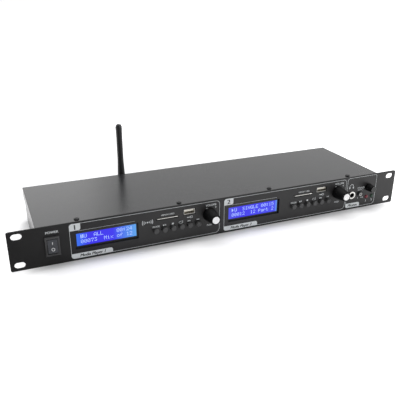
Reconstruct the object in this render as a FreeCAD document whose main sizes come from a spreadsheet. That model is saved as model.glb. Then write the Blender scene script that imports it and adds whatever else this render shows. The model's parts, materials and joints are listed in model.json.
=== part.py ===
"""Dual media player in a one-unit 19-inch rack case, with its antenna.

Frame: +X to the right as seen from the front, +Y towards the rear, +Z up. The origin is the centre
of the four rack slots, on the rear face of the front panel, where the panel meets the rack rails.
Every driving size is a cell of the sheet "sizes", in millimetres, or in degrees for an angle. The
pieces are bound to those cells by formulas, written here with the bare names of the cells.
"""
import FreeCAD, Part
import os
import re

import Sketcher

SIZES = [
    # front panel and its rack slots
    ("panel_width", 482.6, "19-inch rack panel"),
    ("panel_height", 44.0, "one rack unit less a fitting gap"),
    ("panel_thick", 2.0, "sheet of the front panel"),
    ("panel_corner", 2.0, "corner radius of the panel's outline"),
    ("panel_edge", 0.4, "bevel of the panel's front edge"),
    ("rack_span", 463.6, "left to right distance of the rack slots"),
    ("rack_rise", 31.75, "lower to upper distance of the rack slots"),
    ("rack_slot_length", 11.0, "end to end"),
    ("rack_slot_width", 7.0, "height of a slot"),
    # case
    ("case_width", 426.6, "outside of the cover's lips"),
    ("case_depth", 120.3, "panel's rear face to the cover's rear lip"),
    ("sheet_thick", 1.0, "sheet of tray and cover"),
    ("cover_drop", 0.3, "top of the cover below the panel's upper edge"),
    ("lip_height", 12.0, "height of the cover's lips"),
    ("bend_radius", 0.8, "outer bend of the sheet of tray and cover"),
    ("low_rail", 8.0, "height of the tray's front rail at the controls"),
    ("slim_rail", 4.0, "height of the tray's front rail at the displays"),
    ("top_rail", 1.9, "height of the tray's upper front rail"),
    ("flange_depth", 14.0, "depth of the tray's upper front flange"),
    ("rail_margin", 2.4, "side clearance of an aperture in the rail"),
    ("screw_far", 170.5, "outer cover screws from the middle"),
    ("screw_near", 57.2, "inner cover screws from the middle"),
    ("screw_setback", 5.6, "cover screws behind the panel's rear face"),
    ("screw_drop", 5.0, "rear lip screws below the top of the cover"),
    ("screw_radius", 1.5, "M3 thread"),
    ("screw_gap", 0.2, "radial clearance of a screw's through hole"),
    ("screw_length", 5.0, "shank of a cover screw"),
    ("head_radius", 2.9, "pan head"),
    ("head_height", 2.0, "pan head"),
    ("stud_length", 5.0, "welded stud behind the panel"),
    ("stud_end", 0.8, "stud of a display beyond its nut"),
    ("stud_rise", 4.3, "stud's axis above the lower edge of the panel"),
    ("stud_left", -90.0, "left stud of the first player"),
    ("stud_right", -18.0, "right stud of the first player"),
    ("nut_corner", 3.15, "corner radius of an M3 nut"),
    ("nut_height", 2.4, "M3 nut"),
    # display
    ("player_pitch", 175.2, "second player to the right of the first"),
    ("display_x", -141.0, "middle of the first display"),
    ("display_z", 0.3, "middle of the displays"),
    ("window_width", 68.0, "display window in the panel"),
    ("window_height", 19.0, "display window in the panel"),
    ("view_width", 64.5, "visible glass"),
    ("view_height", 14.5, "visible glass"),
    ("view_margin", 1.5, "glass hidden behind its bezel"),
    ("bezel_width", 71.3, "steel bezel of the display"),
    ("bezel_height", 25.2, "steel bezel of the display"),
    ("bezel_sheet", 0.6, "sheet of the bezel"),
    ("bezel_gap", 0.3, "panel to bezel"),
    ("glass_thick", 2.2, "display glass"),
    ("board_front", 7.8, "panel's rear face to the upright boards"),
    ("board_thick", 1.6, "every circuit board"),
    ("display_board_width", 80.0, "display module's board"),
    ("display_board_height", 36.0, "display module's board"),
    ("display_hole_x", 37.5, "mounting hole from the display's middle"),
    ("display_hole_z", 15.5, "mounting hole from the display's middle"),
    ("standoff_radius", 2.4, "threaded standoff"),
    # card slot and USB socket
    ("card_x", -73.5, "middle of the first card slot"),
    ("card_z", 9.4, "middle of the card slots"),
    ("card_slot_width", 26.0, "slot in the panel"),
    ("card_slot_height", 2.8, "slot in the panel"),
    ("card_width", 24.4, "inside of the card socket"),
    ("card_gap_height", 2.4, "inside of the card socket"),
    ("card_depth", 26.0, "inside of the card socket"),
    ("card_wall", 1.4, "sides of the card socket"),
    ("card_lid", 0.8, "top of the card socket"),
    ("usb_x", -47.4, "middle of the first USB socket"),
    ("usb_z", 12.4, "middle of the USB sockets"),
    ("usb_window_gap", 0.75, "shell to the panel's window"),
    ("shell_width", 13.1, "outside of the steel shell"),
    ("shell_height", 5.7, "outside of the steel shell"),
    ("shell_wall", 0.3, "steel shell"),
    ("shell_length", 14.0, "steel shell"),
    ("shell_setback", 0.8, "mouth of the shell behind the panel's front face"),
    ("tongue_width", 11.1, "contact tongue"),
    ("tongue_thick", 1.84, "contact tongue"),
    ("tongue_setback", 1.4, "tip of the tongue behind the shell's mouth"),
    ("tongue_length", 8.8, "contact tongue"),
    ("usb_riser", 2.4, "shell above the media board"),
    ("media_margin", 1.0, "media board beyond its sockets"),
    ("media_depth", 42.0, "front to back"),
    ("media_setback", 3.0, "media board behind the panel's rear face"),
    ("header_width", 20.0, "pin header that stands the media board on the key board"),
    ("header_height", 6.0, "pin header"),
    ("header_thick", 2.5, "pin header"),
    # keys
    ("key_x", -87.5, "first key of the first player"),
    ("key_z", -3.2, "keys of both players"),
    ("key_pitch", 10.0, "key to key"),
    ("key_radius", 3.0, "key cap"),
    ("key_proud", 4.0, "key cap in front of the panel"),
    ("key_gap", 0.3, "key cap in its hole, and its flange behind the panel"),
    ("key_chamfer", 0.5, "front edge of a key cap"),
    ("key_flange", 0.7, "flange beyond the cap's side"),
    ("key_flange_thick", 0.8, "flange that keeps the cap in"),
    ("key_stem", 1.7, "stem that presses the switch"),
    ("key_travel", 0.5, "stroke of a key"),
    ("tact_size", 6.0, "square tact switch"),
    ("tact_height", 3.8, "tact switch in front of its board"),
    ("tact_well", 1.7, "depth of the well that takes the stem"),
    ("stem_reach", 0.5, "stem inside the well at rest"),
    ("key_board_left", -97.0, "left edge of the first key board"),
    ("key_board_right", -12.0, "right edge of the first key board"),
    ("key_board_low", -19.0, "lower edge of the upright boards"),
    ("key_board_mid", 3.0, "upper edge under the media board"),
    ("key_board_step", -36.0, "where the first key board steps up"),
    ("key_board_top", 14.0, "upper edge at the rotary controls"),
    # volume control
    ("volume_x", -23.4, "first volume knob"),
    ("volume_z", 5.5, "volume knobs"),
    ("knob_base", 8.0, "radius of a volume knob at the panel"),
    ("knob_nose", 6.1, "radius of a volume knob at its front"),
    ("knob_length", 17.8, "length of a volume knob"),
    ("knob_gap", 0.8, "knob in front of the panel"),
    ("knob_skirt", 1.4, "straight length at the foot of a knob"),
    ("nose_round", 1.2, "rounding of a knob's front edge"),
    ("nose_step", 0.293, "share of a rounding at its middle point, 1 - cos 45"),
    ("knob_recess", 6.3, "radius of the hollow round the nut"),
    ("cap_radius", 4.7, "bright end cap"),
    ("cap_thick", 1.2, "bright end cap"),
    ("cap_proud", 0.2, "end cap in front of the knob"),
    ("cap_chamfer", 0.3, "front edge of the end cap"),
    ("shaft_radius", 3.0, "shaft of a rotary control"),
    ("shaft_gap", 0.05, "running clearance of a shaft"),
    ("shaft_tail", 5.5, "shaft behind the panel's rear face"),
    ("shaft_stop", 3.6, "end of the shaft behind the knob's front"),
    ("bushing_radius", 3.5, "threaded bushing"),
    ("bushing_gap", 0.1, "bushing in the panel's hole"),
    ("bushing_proud", 3.0, "bushing in front of the panel"),
    ("encoder_width", 12.0, "body of a rotary control"),
    ("encoder_height", 13.0, "body of a rotary control"),
    ("big_nut_corner", 5.5, "corner radius of the bushing's nut"),
    ("big_nut_height", 2.0, "bushing's nut"),
    # headphone block
    ("phones_x", 174.0, "headphone socket"),
    ("phones_z", -2.0, "headphone socket"),
    ("phones_bore", 3.2, "radius for a 6.35 mm plug"),
    ("sleeve_radius", 3.9, "threaded sleeve of the socket"),
    ("ring_radius", 4.9, "ring nut of the socket"),
    ("ring_height", 1.6, "ring nut of the socket"),
    ("phones_width", 14.0, "body of the socket"),
    ("phones_height", 15.0, "body of the socket"),
    ("phones_depth", 26.0, "body of the socket"),
    ("phones_end", 2.0, "rear wall of the socket"),
    ("select_x", 186.8, "select button"),
    ("select_z", -2.3, "select button"),
    ("select_radius", 2.9, "select button"),
    ("select_proud", 2.5, "select button in front of the panel"),
    ("select_dimple", 0.9, "radius of the dimple in the select button"),
    ("lamp_left", 198.0, "first indicator lamp"),
    ("lamp_right", 207.0, "second indicator lamp"),
    ("lamp_z", -7.8, "indicator lamps"),
    ("lamp_radius", 2.4, "lamp body"),
    ("lamp_proud", 1.4, "dome in front of the panel"),
    ("lamp_dome", 1.3, "rounding of the dome"),
    ("lamp_gap", 0.1, "lamp in its hole"),
    ("lamp_tail", 4.6, "lamp body behind the panel's rear face"),
    ("lamp_flange", 0.4, "rim of the lamp beyond its body"),
    ("lead_side", 0.5, "square lead of a lamp"),
    ("lead_offset", 1.27, "lead from the lamp's axis"),
    ("level_x", 199.0, "headphone level knob"),
    ("level_z", 5.5, "headphone level knob"),
    ("level_base", 4.9, "radius of the level knob at the panel"),
    ("level_nose", 4.1, "radius of the level knob at its front"),
    ("level_length", 10.8, "length of the level knob"),
    ("level_skirt", 1.0, "straight length at the knob's foot"),
    ("level_wall", 2.4, "front wall of the level knob"),
    ("pot_width", 10.0, "body of the level control"),
    ("pot_height", 11.0, "body of the level control"),
    ("phones_board_left", 182.4, "left edge of the headphone board"),
    ("phones_board_right", 209.4, "right edge of the headphone board"),
    # power switch
    ("switch_x", -198.2, "power switch"),
    ("rocker_width", 10.0, "rocker"),
    ("rocker_height", 14.6, "rocker"),
    ("rocker_end", 5.2, "pivot to the front of the rocker's ends"),
    ("rocker_valley", 4.1, "pivot to the valley in the rocker's front"),
    ("rocker_swing", 22.0, "swing of the rocker, degrees"),
    ("rocker_gap", 0.2, "rocker in its housing"),
    ("rocker_pivot", -1.0, "depth of the rocker's axis"),
    ("rocker_keel", 5.0, "pivot to the back of the rocker"),
    ("trunnion_radius", 1.2, "pivot pins of the rocker"),
    ("trunnion_gap", 0.05, "running clearance of the pivot pins"),
    ("trunnion_length", 1.0, "pivot pin beyond the rocker's side"),
    ("housing_wall", 1.2, "walls of the switch housing"),
    ("housing_rim", 1.0, "bezel beyond the housing"),
    ("housing_proud", 2.0, "bezel in front of the panel"),
    ("housing_depth", 14.0, "housing behind the panel's rear face"),
    ("housing_floor", 5.0, "solid back of the housing"),
    ("housing_gap", 0.1, "housing in the panel's cut-out"),
    ("rim_bevel", 0.6, "bevel of the bezel's edges"),
    ("blade_width", 6.3, "switch terminal"),
    ("blade_thick", 0.8, "switch terminal"),
    ("blade_length", 7.0, "switch terminal"),
    ("blade_offset", 5.0, "terminal above and below the middle"),
    # boards on the tray's floor
    ("post_height", 3.5, "spacers of the flat boards"),
    ("post_radius", 2.5, "spacers of the flat boards"),
    ("post_inset", 4.0, "spacer from a board's edges"),
    ("power_left", -204.0, "power board"),
    ("power_width", 84.0, "power board"),
    ("power_front", 38.0, "power board"),
    ("power_depth", 54.0, "power board"),
    ("trafo_width", 34.0, "transformer"),
    ("trafo_depth", 30.0, "transformer"),
    ("trafo_height", 26.0, "transformer"),
    ("can_radius", 6.0, "smoothing capacitor"),
    ("can_height", 20.0, "smoothing capacitor"),
    ("audio_left", 16.0, "audio board"),
    ("audio_width", 104.0, "audio board"),
    ("audio_depth", 46.0, "audio board"),
    # rear connectors
    ("phono_x", 30.0, "first phono socket"),
    ("phono_pitch", 18.0, "sockets of a pair"),
    ("phono_pair_pitch", 52.0, "pair to pair"),
    ("phono_z", -2.0, "phono sockets"),
    ("phono_radius", 4.15, "outer contact of a phono socket"),
    ("phono_contact", 1.6, "centre contact"),
    ("phono_contact_depth", 11.0, "centre contact"),
    ("phono_proud", 9.0, "phono socket behind the rear wall"),
    ("phono_collar", 5.4, "insulating collar"),
    ("phono_collar_thick", 1.2, "insulating collar"),
    ("phono_block", 13.0, "body of a phono socket"),
    ("phono_gap", 0.2, "phono socket in the rear wall"),
    ("inlet_x", -185.0, "mains inlet"),
    ("inlet_z", -2.6, "mains inlet"),
    ("inlet_width", 24.6, "recess for the mains connector"),
    ("inlet_height", 16.6, "recess for the mains connector"),
    ("inlet_bevel", 5.0, "sloped upper corners of the recess"),
    ("inlet_recess", 16.5, "depth of the recess"),
    ("inlet_wall", 1.6, "body round the recess"),
    ("inlet_floor", 2.5, "body behind the recess"),
    ("inlet_flange", 2.0, "flange beyond the body"),
    ("inlet_flange_thick", 2.5, "flange outside the rear wall"),
    ("inlet_gap", 0.2, "inlet in the rear wall"),
    ("prong_height", 4.0, "inlet prong"),
    ("prong_width", 2.0, "inlet prong"),
    ("prong_spread", 7.0, "outer prongs from the middle"),
    ("prong_offset", 2.0, "prongs above and below the middle"),
    ("prong_end", 3.5, "tip of a prong below the mouth"),
    # antenna
    ("antenna_x", -89.0, "antenna"),
    ("thread_radius", 3.1, "antenna socket"),
    ("thread_proud", 6.2, "antenna socket behind the rear wall"),
    ("thread_gap", 0.1, "antenna socket in the rear wall"),
    ("socket_flange", 4.6, "antenna socket inside the rear wall"),
    ("socket_flange_thick", 2.0, "antenna socket inside the rear wall"),
    ("socket_nut_corner", 4.6, "corner radius of the socket's nut"),
    ("socket_nut_height", 1.8, "socket's nut on the rear wall"),
    ("coupling_radius", 4.6, "coupling nut"),
    ("coupling_length", 6.6, "coupling nut"),
    ("coupling_end", 2.4, "end wall of the coupling nut"),
    ("coupling_gap", 0.2, "coupling nut to its neighbours"),
    ("spigot_radius", 2.5, "swivel spigot of the antenna"),
    ("spigot_gap", 0.05, "running clearance of the spigot"),
    ("base_radius", 4.5, "foot of the hinged base"),
    ("base_thick", 1.0, "foot of the hinged base"),
    ("cheek_radius", 3.9, "cheeks of the hinge"),
    ("cheek_inside", 2.4, "cheek from the middle"),
    ("cheek_outside", 4.5, "cheek from the middle"),
    ("knuckle_radius", 3.6, "knuckle of the whip"),
    ("knuckle_half", 2.2, "knuckle from the middle"),
    ("knuckle_gap", 0.2, "knuckle to the foot"),
    ("hinge_pin", 1.0, "radius of the hinge pin"),
    ("hinge_gap", 0.05, "running clearance of the hinge pin"),
    ("whip_shoulder", 5.0, "hinge axis to the foot of the whip"),
    ("whip_foot", 4.8, "radius at the foot of the whip"),
    ("whip_foot_top", 14.0, "hinge axis to the end of the foot"),
    ("whip_waist", 3.75, "radius of the whip's thin stretch"),
    ("whip_waist_low", 38.0, "hinge axis to the thin stretch"),
    ("whip_waist_high", 66.0, "hinge axis to the end of the thin stretch"),
    ("whip_tip", 4.0, "radius near the tip"),
    ("whip_length", 84.0, "hinge axis to the tip"),
]
WORDS = {alias for alias, _, _ in SIZES}
KEY_NAMES = ["mode", "play", "stop", "repeat", "previous", "next"]
PLAYERS = (1, 2)
THROUGH = 1

os.makedirs("parts", exist_ok=True)
doc = FreeCAD.newDocument("rack_player")
sheet = doc.addObject("Spreadsheet::Sheet", "sizes")
for row, (alias, size, note) in enumerate(SIZES, start=1):
    sheet.set(f"A{row}", alias)
    sheet.set(f"B{row}", str(size))
    sheet.set(f"C{row}", note)
    sheet.setAlias(f"B{row}", alias)
doc.recompute()

sub_parts = []
cuts = []


# Formulas
def formula(text):
    """Turn the sheet's words in a formula into references to the sheet."""
    return re.sub(r"[a-z][a-z0-9_]*", lambda w: "sizes." + w[0] if w[0] in WORDS else w[0], text)


def value(text):
    """Work out a formula as a plain number."""
    return float(sheet.evalExpression(formula(text)))


def bind(item, **formulas):
    """Bind properties of an object to formulas."""
    for name, text in formulas.items():
        item.setExpression(name, formula(text))


def place(item, x="0", y="0", z="0"):
    """Bind an object's place to three formulas."""
    for axis, text in zip("xyz", (x, y, z)):
        item.setExpression(f"Placement.Base.{axis}", formula(text))


def finished(item):
    """Note a finished sub-part, whose label names its file."""
    sub_parts.append(item)
    return item


# Places and heights that several pieces share
FRONT = "-panel_thick"
CASE_TOP = "(panel_height / 2 - cover_drop)"
TRAY_TOP = "(panel_height / 2 - cover_drop - sheet_thick)"
FLOOR = "(sheet_thick - panel_height / 2)"
TRAY_HALF = "(case_width / 2 - sheet_thick)"
TRAY_REAR = "(case_depth - sheet_thick)"
BOARD_Z = "(sheet_thick - panel_height / 2 + post_height)"
BOARD_TOP = "(sheet_thick - panel_height / 2 + post_height + board_thick)"
MEDIA_TOP = "(usb_z - shell_height / 2 - usb_riser)"
CAVITY_WIDTH = "(rocker_width + 2 * rocker_gap)"
CAVITY_HEIGHT = (
    "(rocker_height * cos(rocker_swing / 2 * 1 deg)"
    " + 2 * rocker_end * sin(rocker_swing / 2 * 1 deg) + 2 * rocker_gap)"
)
HOUSING_WIDTH = f"({CAVITY_WIDTH} + 2 * housing_wall)"
HOUSING_HEIGHT = f"({CAVITY_HEIGHT} + 2 * housing_wall)"
INLET_WIDTH = "(inlet_width + 2 * inlet_wall)"
INLET_HEIGHT = "(inlet_height + 2 * inlet_wall)"
COUPLING_START = f"({TRAY_REAR} + socket_nut_height + coupling_gap)"
COUPLING_FACE = f"({COUPLING_START} + coupling_length)"
BASE_START = f"({COUPLING_FACE} + coupling_gap)"
HINGE_Y = f"({BASE_START} + base_thick + knuckle_gap + knuckle_radius)"
COVER_SCREWS = ("screw_far", "screw_near", "-screw_near", "-screw_far")
PHONO_PLACES = [f"(phono_x + {pair} * phono_pair_pitch + {side} * phono_pitch)"
                for pair in (0, 1) for side in (0, 1)]


def shift(player):
    """Distance of a player to the right of the first one."""
    return f"{player - 1} * player_pitch"


def key_place(player, number):
    """Place of a key across the panel."""
    return f"(key_x + {number} * key_pitch + {shift(player)})"


def display_corners(player):
    """Places of the four fixings of a display's board."""
    return [(f"display_x + {shift(player)} {side} display_hole_x",
             f"display_z {level} display_hole_z") for side in "-+" for level in "-+"]


# Sketches
def pin(sketch, index, point, across, up):
    """Pin a point of a sketch at two formulas, measured from the sketch's origin."""
    for kind, text in (("DistanceX", across), ("DistanceY", up)):
        rule = Sketcher.Constraint(kind, -1, 1, index, point, value(text))
        number = sketch.addConstraint(rule)
        sketch.setExpression(f"Constraints[{number}]", formula(text))


def spot(across, up):
    """A point of a sketch, worked out from two formulas."""
    return FreeCAD.Vector(value(across), value(up), 0)


def polygon(sketch, points):
    """Draw a closed outline of straight edges through pinned points."""
    first = sketch.GeometryCount
    spots = [spot(*point) for point in points]
    for start, end in zip(spots, spots[1:] + spots[:1]):
        sketch.addGeometry(Part.LineSegment(start, end), False)
    for number, point in enumerate(points):
        following = first + (number + 1) % len(points)
        sketch.addConstraint(Sketcher.Constraint("Coincident", first + number, 2, following, 1))
        pin(sketch, first + number, 1, *point)


def rectangle(sketch, x, z, width, height):
    """Draw a rectangle about a middle point."""
    left, right = (f"{x} {sign} ({width}) / 2" for sign in "-+")
    low, high = (f"{z} {sign} ({height}) / 2" for sign in "-+")
    polygon(sketch, [(left, low), (right, low), (right, high), (left, high)])


def circle(sketch, x, z, radius):
    """Draw a circle about a pinned centre."""
    shape = Part.Circle(spot(x, z), FreeCAD.Vector(0, 0, 1), value(radius))
    index = sketch.addGeometry(shape, False)
    pin(sketch, index, 3, x, z)
    number = sketch.addConstraint(Sketcher.Constraint("Radius", index, value(radius)))
    sketch.setExpression(f"Constraints[{number}]", formula(radius))


def round_slot(sketch, x, z, length, width):
    """Draw a slot with round ends, lying across, about a middle point."""
    radius = value(width) / 2
    up = FreeCAD.Vector(0, radius, 0)
    ends = [f"{x} {sign} (({length}) - ({width})) / 2" for sign in "-+"]
    left, right = (spot(end, z) for end in ends)
    first = sketch.addGeometry(Part.LineSegment(left - up, right - up), False)
    sketch.addGeometry(Part.Arc(right - up, right + FreeCAD.Vector(radius, 0, 0), right + up), False)
    sketch.addGeometry(Part.LineSegment(right + up, left + up), False)
    sketch.addGeometry(Part.Arc(left + up, left - FreeCAD.Vector(radius, 0, 0), left - up), False)
    joints = ((0, 2, 1, 1), (1, 2, 2, 1), (2, 2, 3, 1), (3, 2, 0, 1))
    for edge, end, following, start in joints:
        rule = Sketcher.Constraint("Tangent", first + edge, end, first + following, start)
        sketch.addConstraint(rule)
    pin(sketch, first + 1, 3, ends[1], z)
    pin(sketch, first + 3, 3, ends[0], z)
    for arc in (1, 3):
        number = sketch.addConstraint(Sketcher.Constraint("Radius", first + arc, radius))
        sketch.setExpression(f"Constraints[{number}]", formula(f"({width}) / 2"))


# Solid features
def new_body(label):
    """Start a body whose label names the sub-part."""
    body = doc.addObject("PartDesign::Body", label)
    body.Label = label
    return body


def new_sketch(body, role, level="0"):
    """Start a sketch on a plane of the body, moved along the plane's normal."""
    sketch = body.newObject("Sketcher::SketchObject", f"{body.Name}_sketch")
    plane = next(item for item in body.Origin.OriginFeatures if item.Role == role)
    sketch.AttachmentSupport = (plane, [""])
    sketch.MapMode = "FlatFace"
    sketch.setExpression(".AttachmentOffset.Base.z", formula(level))
    return sketch


def front_sketch(body, y="0"):
    """Start a sketch seen from the front, at a depth; its normal points forwards."""
    return new_sketch(body, "XZ_Plane", f"-({y})")


def pad(body, sketch, length, reverse=False):
    """Raise a sketch into a solid along its normal, or against it."""
    feature = body.newObject("PartDesign::Pad", f"{body.Name}_pad")
    feature.Profile = sketch
    feature.Reversed = reverse
    bind(feature, Length=length)
    return feature


def pocket(body, sketch, length=None, reverse=False):
    """Cut a sketch against its normal, or along it; with no length, right through."""
    feature = body.newObject("PartDesign::Pocket", f"{body.Name}_pocket")
    feature.Profile = sketch
    feature.Reversed = reverse
    if length is None:
        feature.Type = THROUGH
    else:
        bind(feature, Length=length)
    cuts.append(feature)
    return feature


def ease(body, kind, size, chosen):
    """Round or bevel the edges of the body that a test picks."""
    doc.recompute()
    base = body.Tip
    names = [f"Edge{i}" for i, edge in enumerate(base.Shape.Edges, start=1) if chosen(edge)]
    feature = body.newObject(f"PartDesign::{kind}", f"{body.Name}_{kind.lower()}")
    feature.Base = (base, names)
    bind(feature, **size)
    return feature


def soften(body, radius, chosen):
    """Round the edges of the body that a test picks."""
    return ease(body, "Fillet", {"Radius": radius}, chosen)


def break_edges(body, size, chosen):
    """Bevel the edges of the body that a test picks."""
    return ease(body, "Chamfer", {"Size": size}, chosen)


def lies_at(edge, axis, text):
    """Say whether a whole edge lies at one level of an axis."""
    low, high = getattr(edge.BoundBox, f"{axis}Min"), getattr(edge.BoundBox, f"{axis}Max")
    return abs(low - value(text)) < 1e-4 and abs(high - value(text)) < 1e-4


def runs_along(edge, axis):
    """Say whether an edge is straight and runs along an axis."""
    box = edge.BoundBox
    others = [length for name, length in zip("XYZ", (box.XLength, box.YLength, box.ZLength))
              if name != axis]
    return max(others) < 1e-4


def turned(label, points, x, z):
    """Turn a half section of depths and radii about an axis that runs front to back."""
    body = new_body(label)
    sketch = new_sketch(body, "YZ_Plane")
    polygon(sketch, points)
    feature = body.newObject("PartDesign::Revolution", f"{label}_turn")
    feature.Profile = sketch
    feature.ReferenceAxis = (sketch, ["H_Axis"])
    place(body, x=x, z=z)
    return body


def rounded_nose(face, radius, size):
    """Give the points of a half section's front corner, rounded in two steps."""
    return [(face, f"{radius} - {size}"),
            (f"{face} + {size} * nose_step", f"{radius} - {size} * nose_step"),
            (f"{face} + {size}", radius)]


def block(name, x, y, z):
    """Make a box from a pair of formulas for each axis."""
    item = doc.addObject("Part::Box", name)
    item.Label = name
    place(item, x[0], y[0], z[0])
    spans = [f"({high}) - ({low})" for low, high in (x, y, z)]
    bind(item, Length=spans[0], Width=spans[1], Height=spans[2])
    return item


def around(middle, size):
    """Give the pair of formulas of a span about its middle."""
    return (f"{middle} - ({size}) / 2", f"{middle} + ({size}) / 2")


TURNS = {
    "X": FreeCAD.Rotation(FreeCAD.Vector(0, 1, 0), 90),
    "Y": FreeCAD.Rotation(FreeCAD.Vector(1, 0, 0), -90),
    "Z": FreeCAD.Rotation(),
}


def laid(item, axis, start, x, y, z):
    """Turn a primitive's own axis to X, Y or Z and bind its place."""
    item.Label = item.Name
    item.Placement = FreeCAD.Placement(FreeCAD.Vector(), TURNS[axis])
    spots = dict(x=x, y=y, z=z)
    spots[axis.lower()] = start
    place(item, **spots)
    return item


def rod(name, axis, span, radius, x="0", y="0", z="0"):
    """Make a round bar along an axis, from one formula to another."""
    item = doc.addObject("Part::Cylinder", name)
    bind(item, Radius=radius, Height=f"({span[1]}) - ({span[0]})")
    return laid(item, axis, span[0], x, y, z)


def hexagon(name, axis, span, corner, x="0", y="0", z="0"):
    """Make a hexagonal bar along an axis, by its corner radius."""
    item = doc.addObject("Part::Prism", name)
    item.Polygon = 6
    bind(item, Circumradius=corner, Height=f"({span[1]}) - ({span[0]})")
    return laid(item, axis, span[0], x, y, z)


def join(name, items):
    """Fuse solids that touch."""
    fused = doc.addObject("Part::MultiFuse", name)
    fused.Label = name
    fused.Shapes = items
    fused.Refine = True
    return fused


def minus(name, base, tools):
    """Cut tools out of a solid."""
    cut = doc.addObject("Part::Cut", name)
    cut.Label = name
    cut.Base = base
    cut.Tool = tools[0] if len(tools) == 1 else join(f"{name}_tools", tools)
    cut.Refine = True
    return cut


def group(name, items):
    """Hold separate, identical pieces in one sub-part."""
    held = doc.addObject("Part::Compound", name)
    held.Label = name
    held.Links = items
    return held


# Front panel
def control_holes(sketch, player):
    """Draw the window, slots and holes of one player."""
    move = shift(player)
    rectangle(sketch, f"display_x + {move}", "display_z", "window_width", "window_height")
    rectangle(sketch, f"card_x + {move}", "card_z", "card_slot_width", "card_slot_height")
    rectangle(sketch, f"usb_x + {move}", "usb_z", "shell_width + 2 * usb_window_gap",
              "shell_height + 2 * usb_window_gap")
    for number in range(len(KEY_NAMES)):
        circle(sketch, key_place(player, number), "key_z", "key_radius + key_gap")
    circle(sketch, f"volume_x + {move}", "volume_z", "bushing_radius + bushing_gap")


def make_front_panel():
    """Plate with rack slots and a cut-out for every control."""
    body = new_body("front_panel")
    plate = front_sketch(body)
    rectangle(plate, "0", "0", "panel_width", "panel_height")
    pad(body, plate, "panel_thick")
    soften(body, "panel_corner", lambda edge: runs_along(edge, "Y"))
    break_edges(body, "panel_edge", lambda edge: lies_at(edge, "Y", FRONT))
    holes = front_sketch(body)
    for side in ("-", ""):
        for level in ("-", ""):
            round_slot(holes, f"{side}rack_span / 2", f"{level}rack_rise / 2",
                       "rack_slot_length", "rack_slot_width")
    rectangle(holes, "switch_x", "0", f"{HOUSING_WIDTH} + 2 * housing_gap",
              f"{HOUSING_HEIGHT} + 2 * housing_gap")
    for player in PLAYERS:
        control_holes(holes, player)
    circle(holes, "phones_x", "phones_z", "sleeve_radius + bushing_gap")
    circle(holes, "select_x", "select_z", "select_radius + key_gap")
    circle(holes, "level_x", "level_z", "bushing_radius + bushing_gap")
    for lamp in ("lamp_left", "lamp_right"):
        circle(holes, lamp, "lamp_z", "lamp_radius + lamp_gap")
    pocket(body, holes, reverse=True)
    return finished(body)


# Case
def aperture(sketch, left, right, low):
    """Draw one opening of the tray's front rail between two formulas."""
    high = f"{TRAY_TOP} - top_rail"
    polygon(sketch, [(left, low), (right, low), (right, high), (left, high)])


def make_chassis_tray():
    """Folded tray: a floor and two sides."""
    body = new_body("chassis_tray")
    outside = new_sketch(body, "XY_Plane", "-panel_height / 2")
    rectangle(outside, "0", f"{TRAY_REAR} / 2", f"2 * {TRAY_HALF}",
              f"{TRAY_REAR} - 2 * sheet_thick")
    pad(body, outside, f"{TRAY_TOP} + panel_height / 2")
    soften(body, "bend_radius", lambda edge: (lies_at(edge, "Z", "-panel_height / 2")
                                              and runs_along(edge, "Y")))
    inside = new_sketch(body, "XY_Plane", TRAY_TOP)
    rectangle(inside, "0", f"{TRAY_REAR} / 2", f"2 * {TRAY_HALF} - 2 * sheet_thick", TRAY_REAR)
    pocket(body, inside, f"{TRAY_TOP} - {FLOOR}")
    return finished(body)


def make_end_plate(label, front):
    """Start a plate across the tray's open end at a depth."""
    body = new_body(label)
    plate = front_sketch(body, front)
    rectangle(plate, "0", f"({TRAY_TOP} - panel_height / 2) / 2", f"2 * {TRAY_HALF}",
              f"{TRAY_TOP} + panel_height / 2")
    pad(body, plate, "sheet_thick", reverse=True)
    return body


def make_front_rail():
    """Rail behind the panel, with apertures for the controls and a flange for the cover."""
    body = make_end_plate("front_rail", "0")
    flange = new_sketch(body, "XY_Plane", f"{TRAY_TOP} - sheet_thick")
    rectangle(flange, "0", "flange_depth / 2", f"2 * {TRAY_HALF} - 2 * sheet_thick", "flange_depth")
    pad(body, flange, "sheet_thick")
    rails = front_sketch(body)
    slim = "slim_rail - panel_height / 2"
    low = "low_rail - panel_height / 2"
    aperture(rails, f"switch_x - {HOUSING_WIDTH} / 2 - rail_margin",
             f"switch_x + {HOUSING_WIDTH} / 2 + rail_margin", low)
    for player in PLAYERS:
        move = shift(player)
        half = "display_hole_x + standoff_radius + media_margin"
        aperture(rails, f"display_x + {move} - ({half})", f"display_x + {move} + ({half})", slim)
        aperture(rails, f"key_board_left + {move}", f"key_board_right + {move} + rail_margin", low)
        for stud in ("stud_left", "stud_right"):
            circle(rails, f"{stud} + {move}", "stud_rise - panel_height / 2",
                   "screw_radius + screw_gap")
    aperture(rails, "phones_x - phones_width / 2 - sheet_thick / 2",
             "lamp_right + lamp_radius + lamp_flange + key_gap", low)
    pocket(body, rails, "1.5 * sheet_thick")
    threads = new_sketch(body, "XY_Plane", f"{TRAY_TOP} - sheet_thick")
    for screw in COVER_SCREWS:
        circle(threads, screw, "screw_setback", "screw_radius")
    pocket(body, threads, "1.5 * sheet_thick", reverse=True)
    return finished(body)


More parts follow.
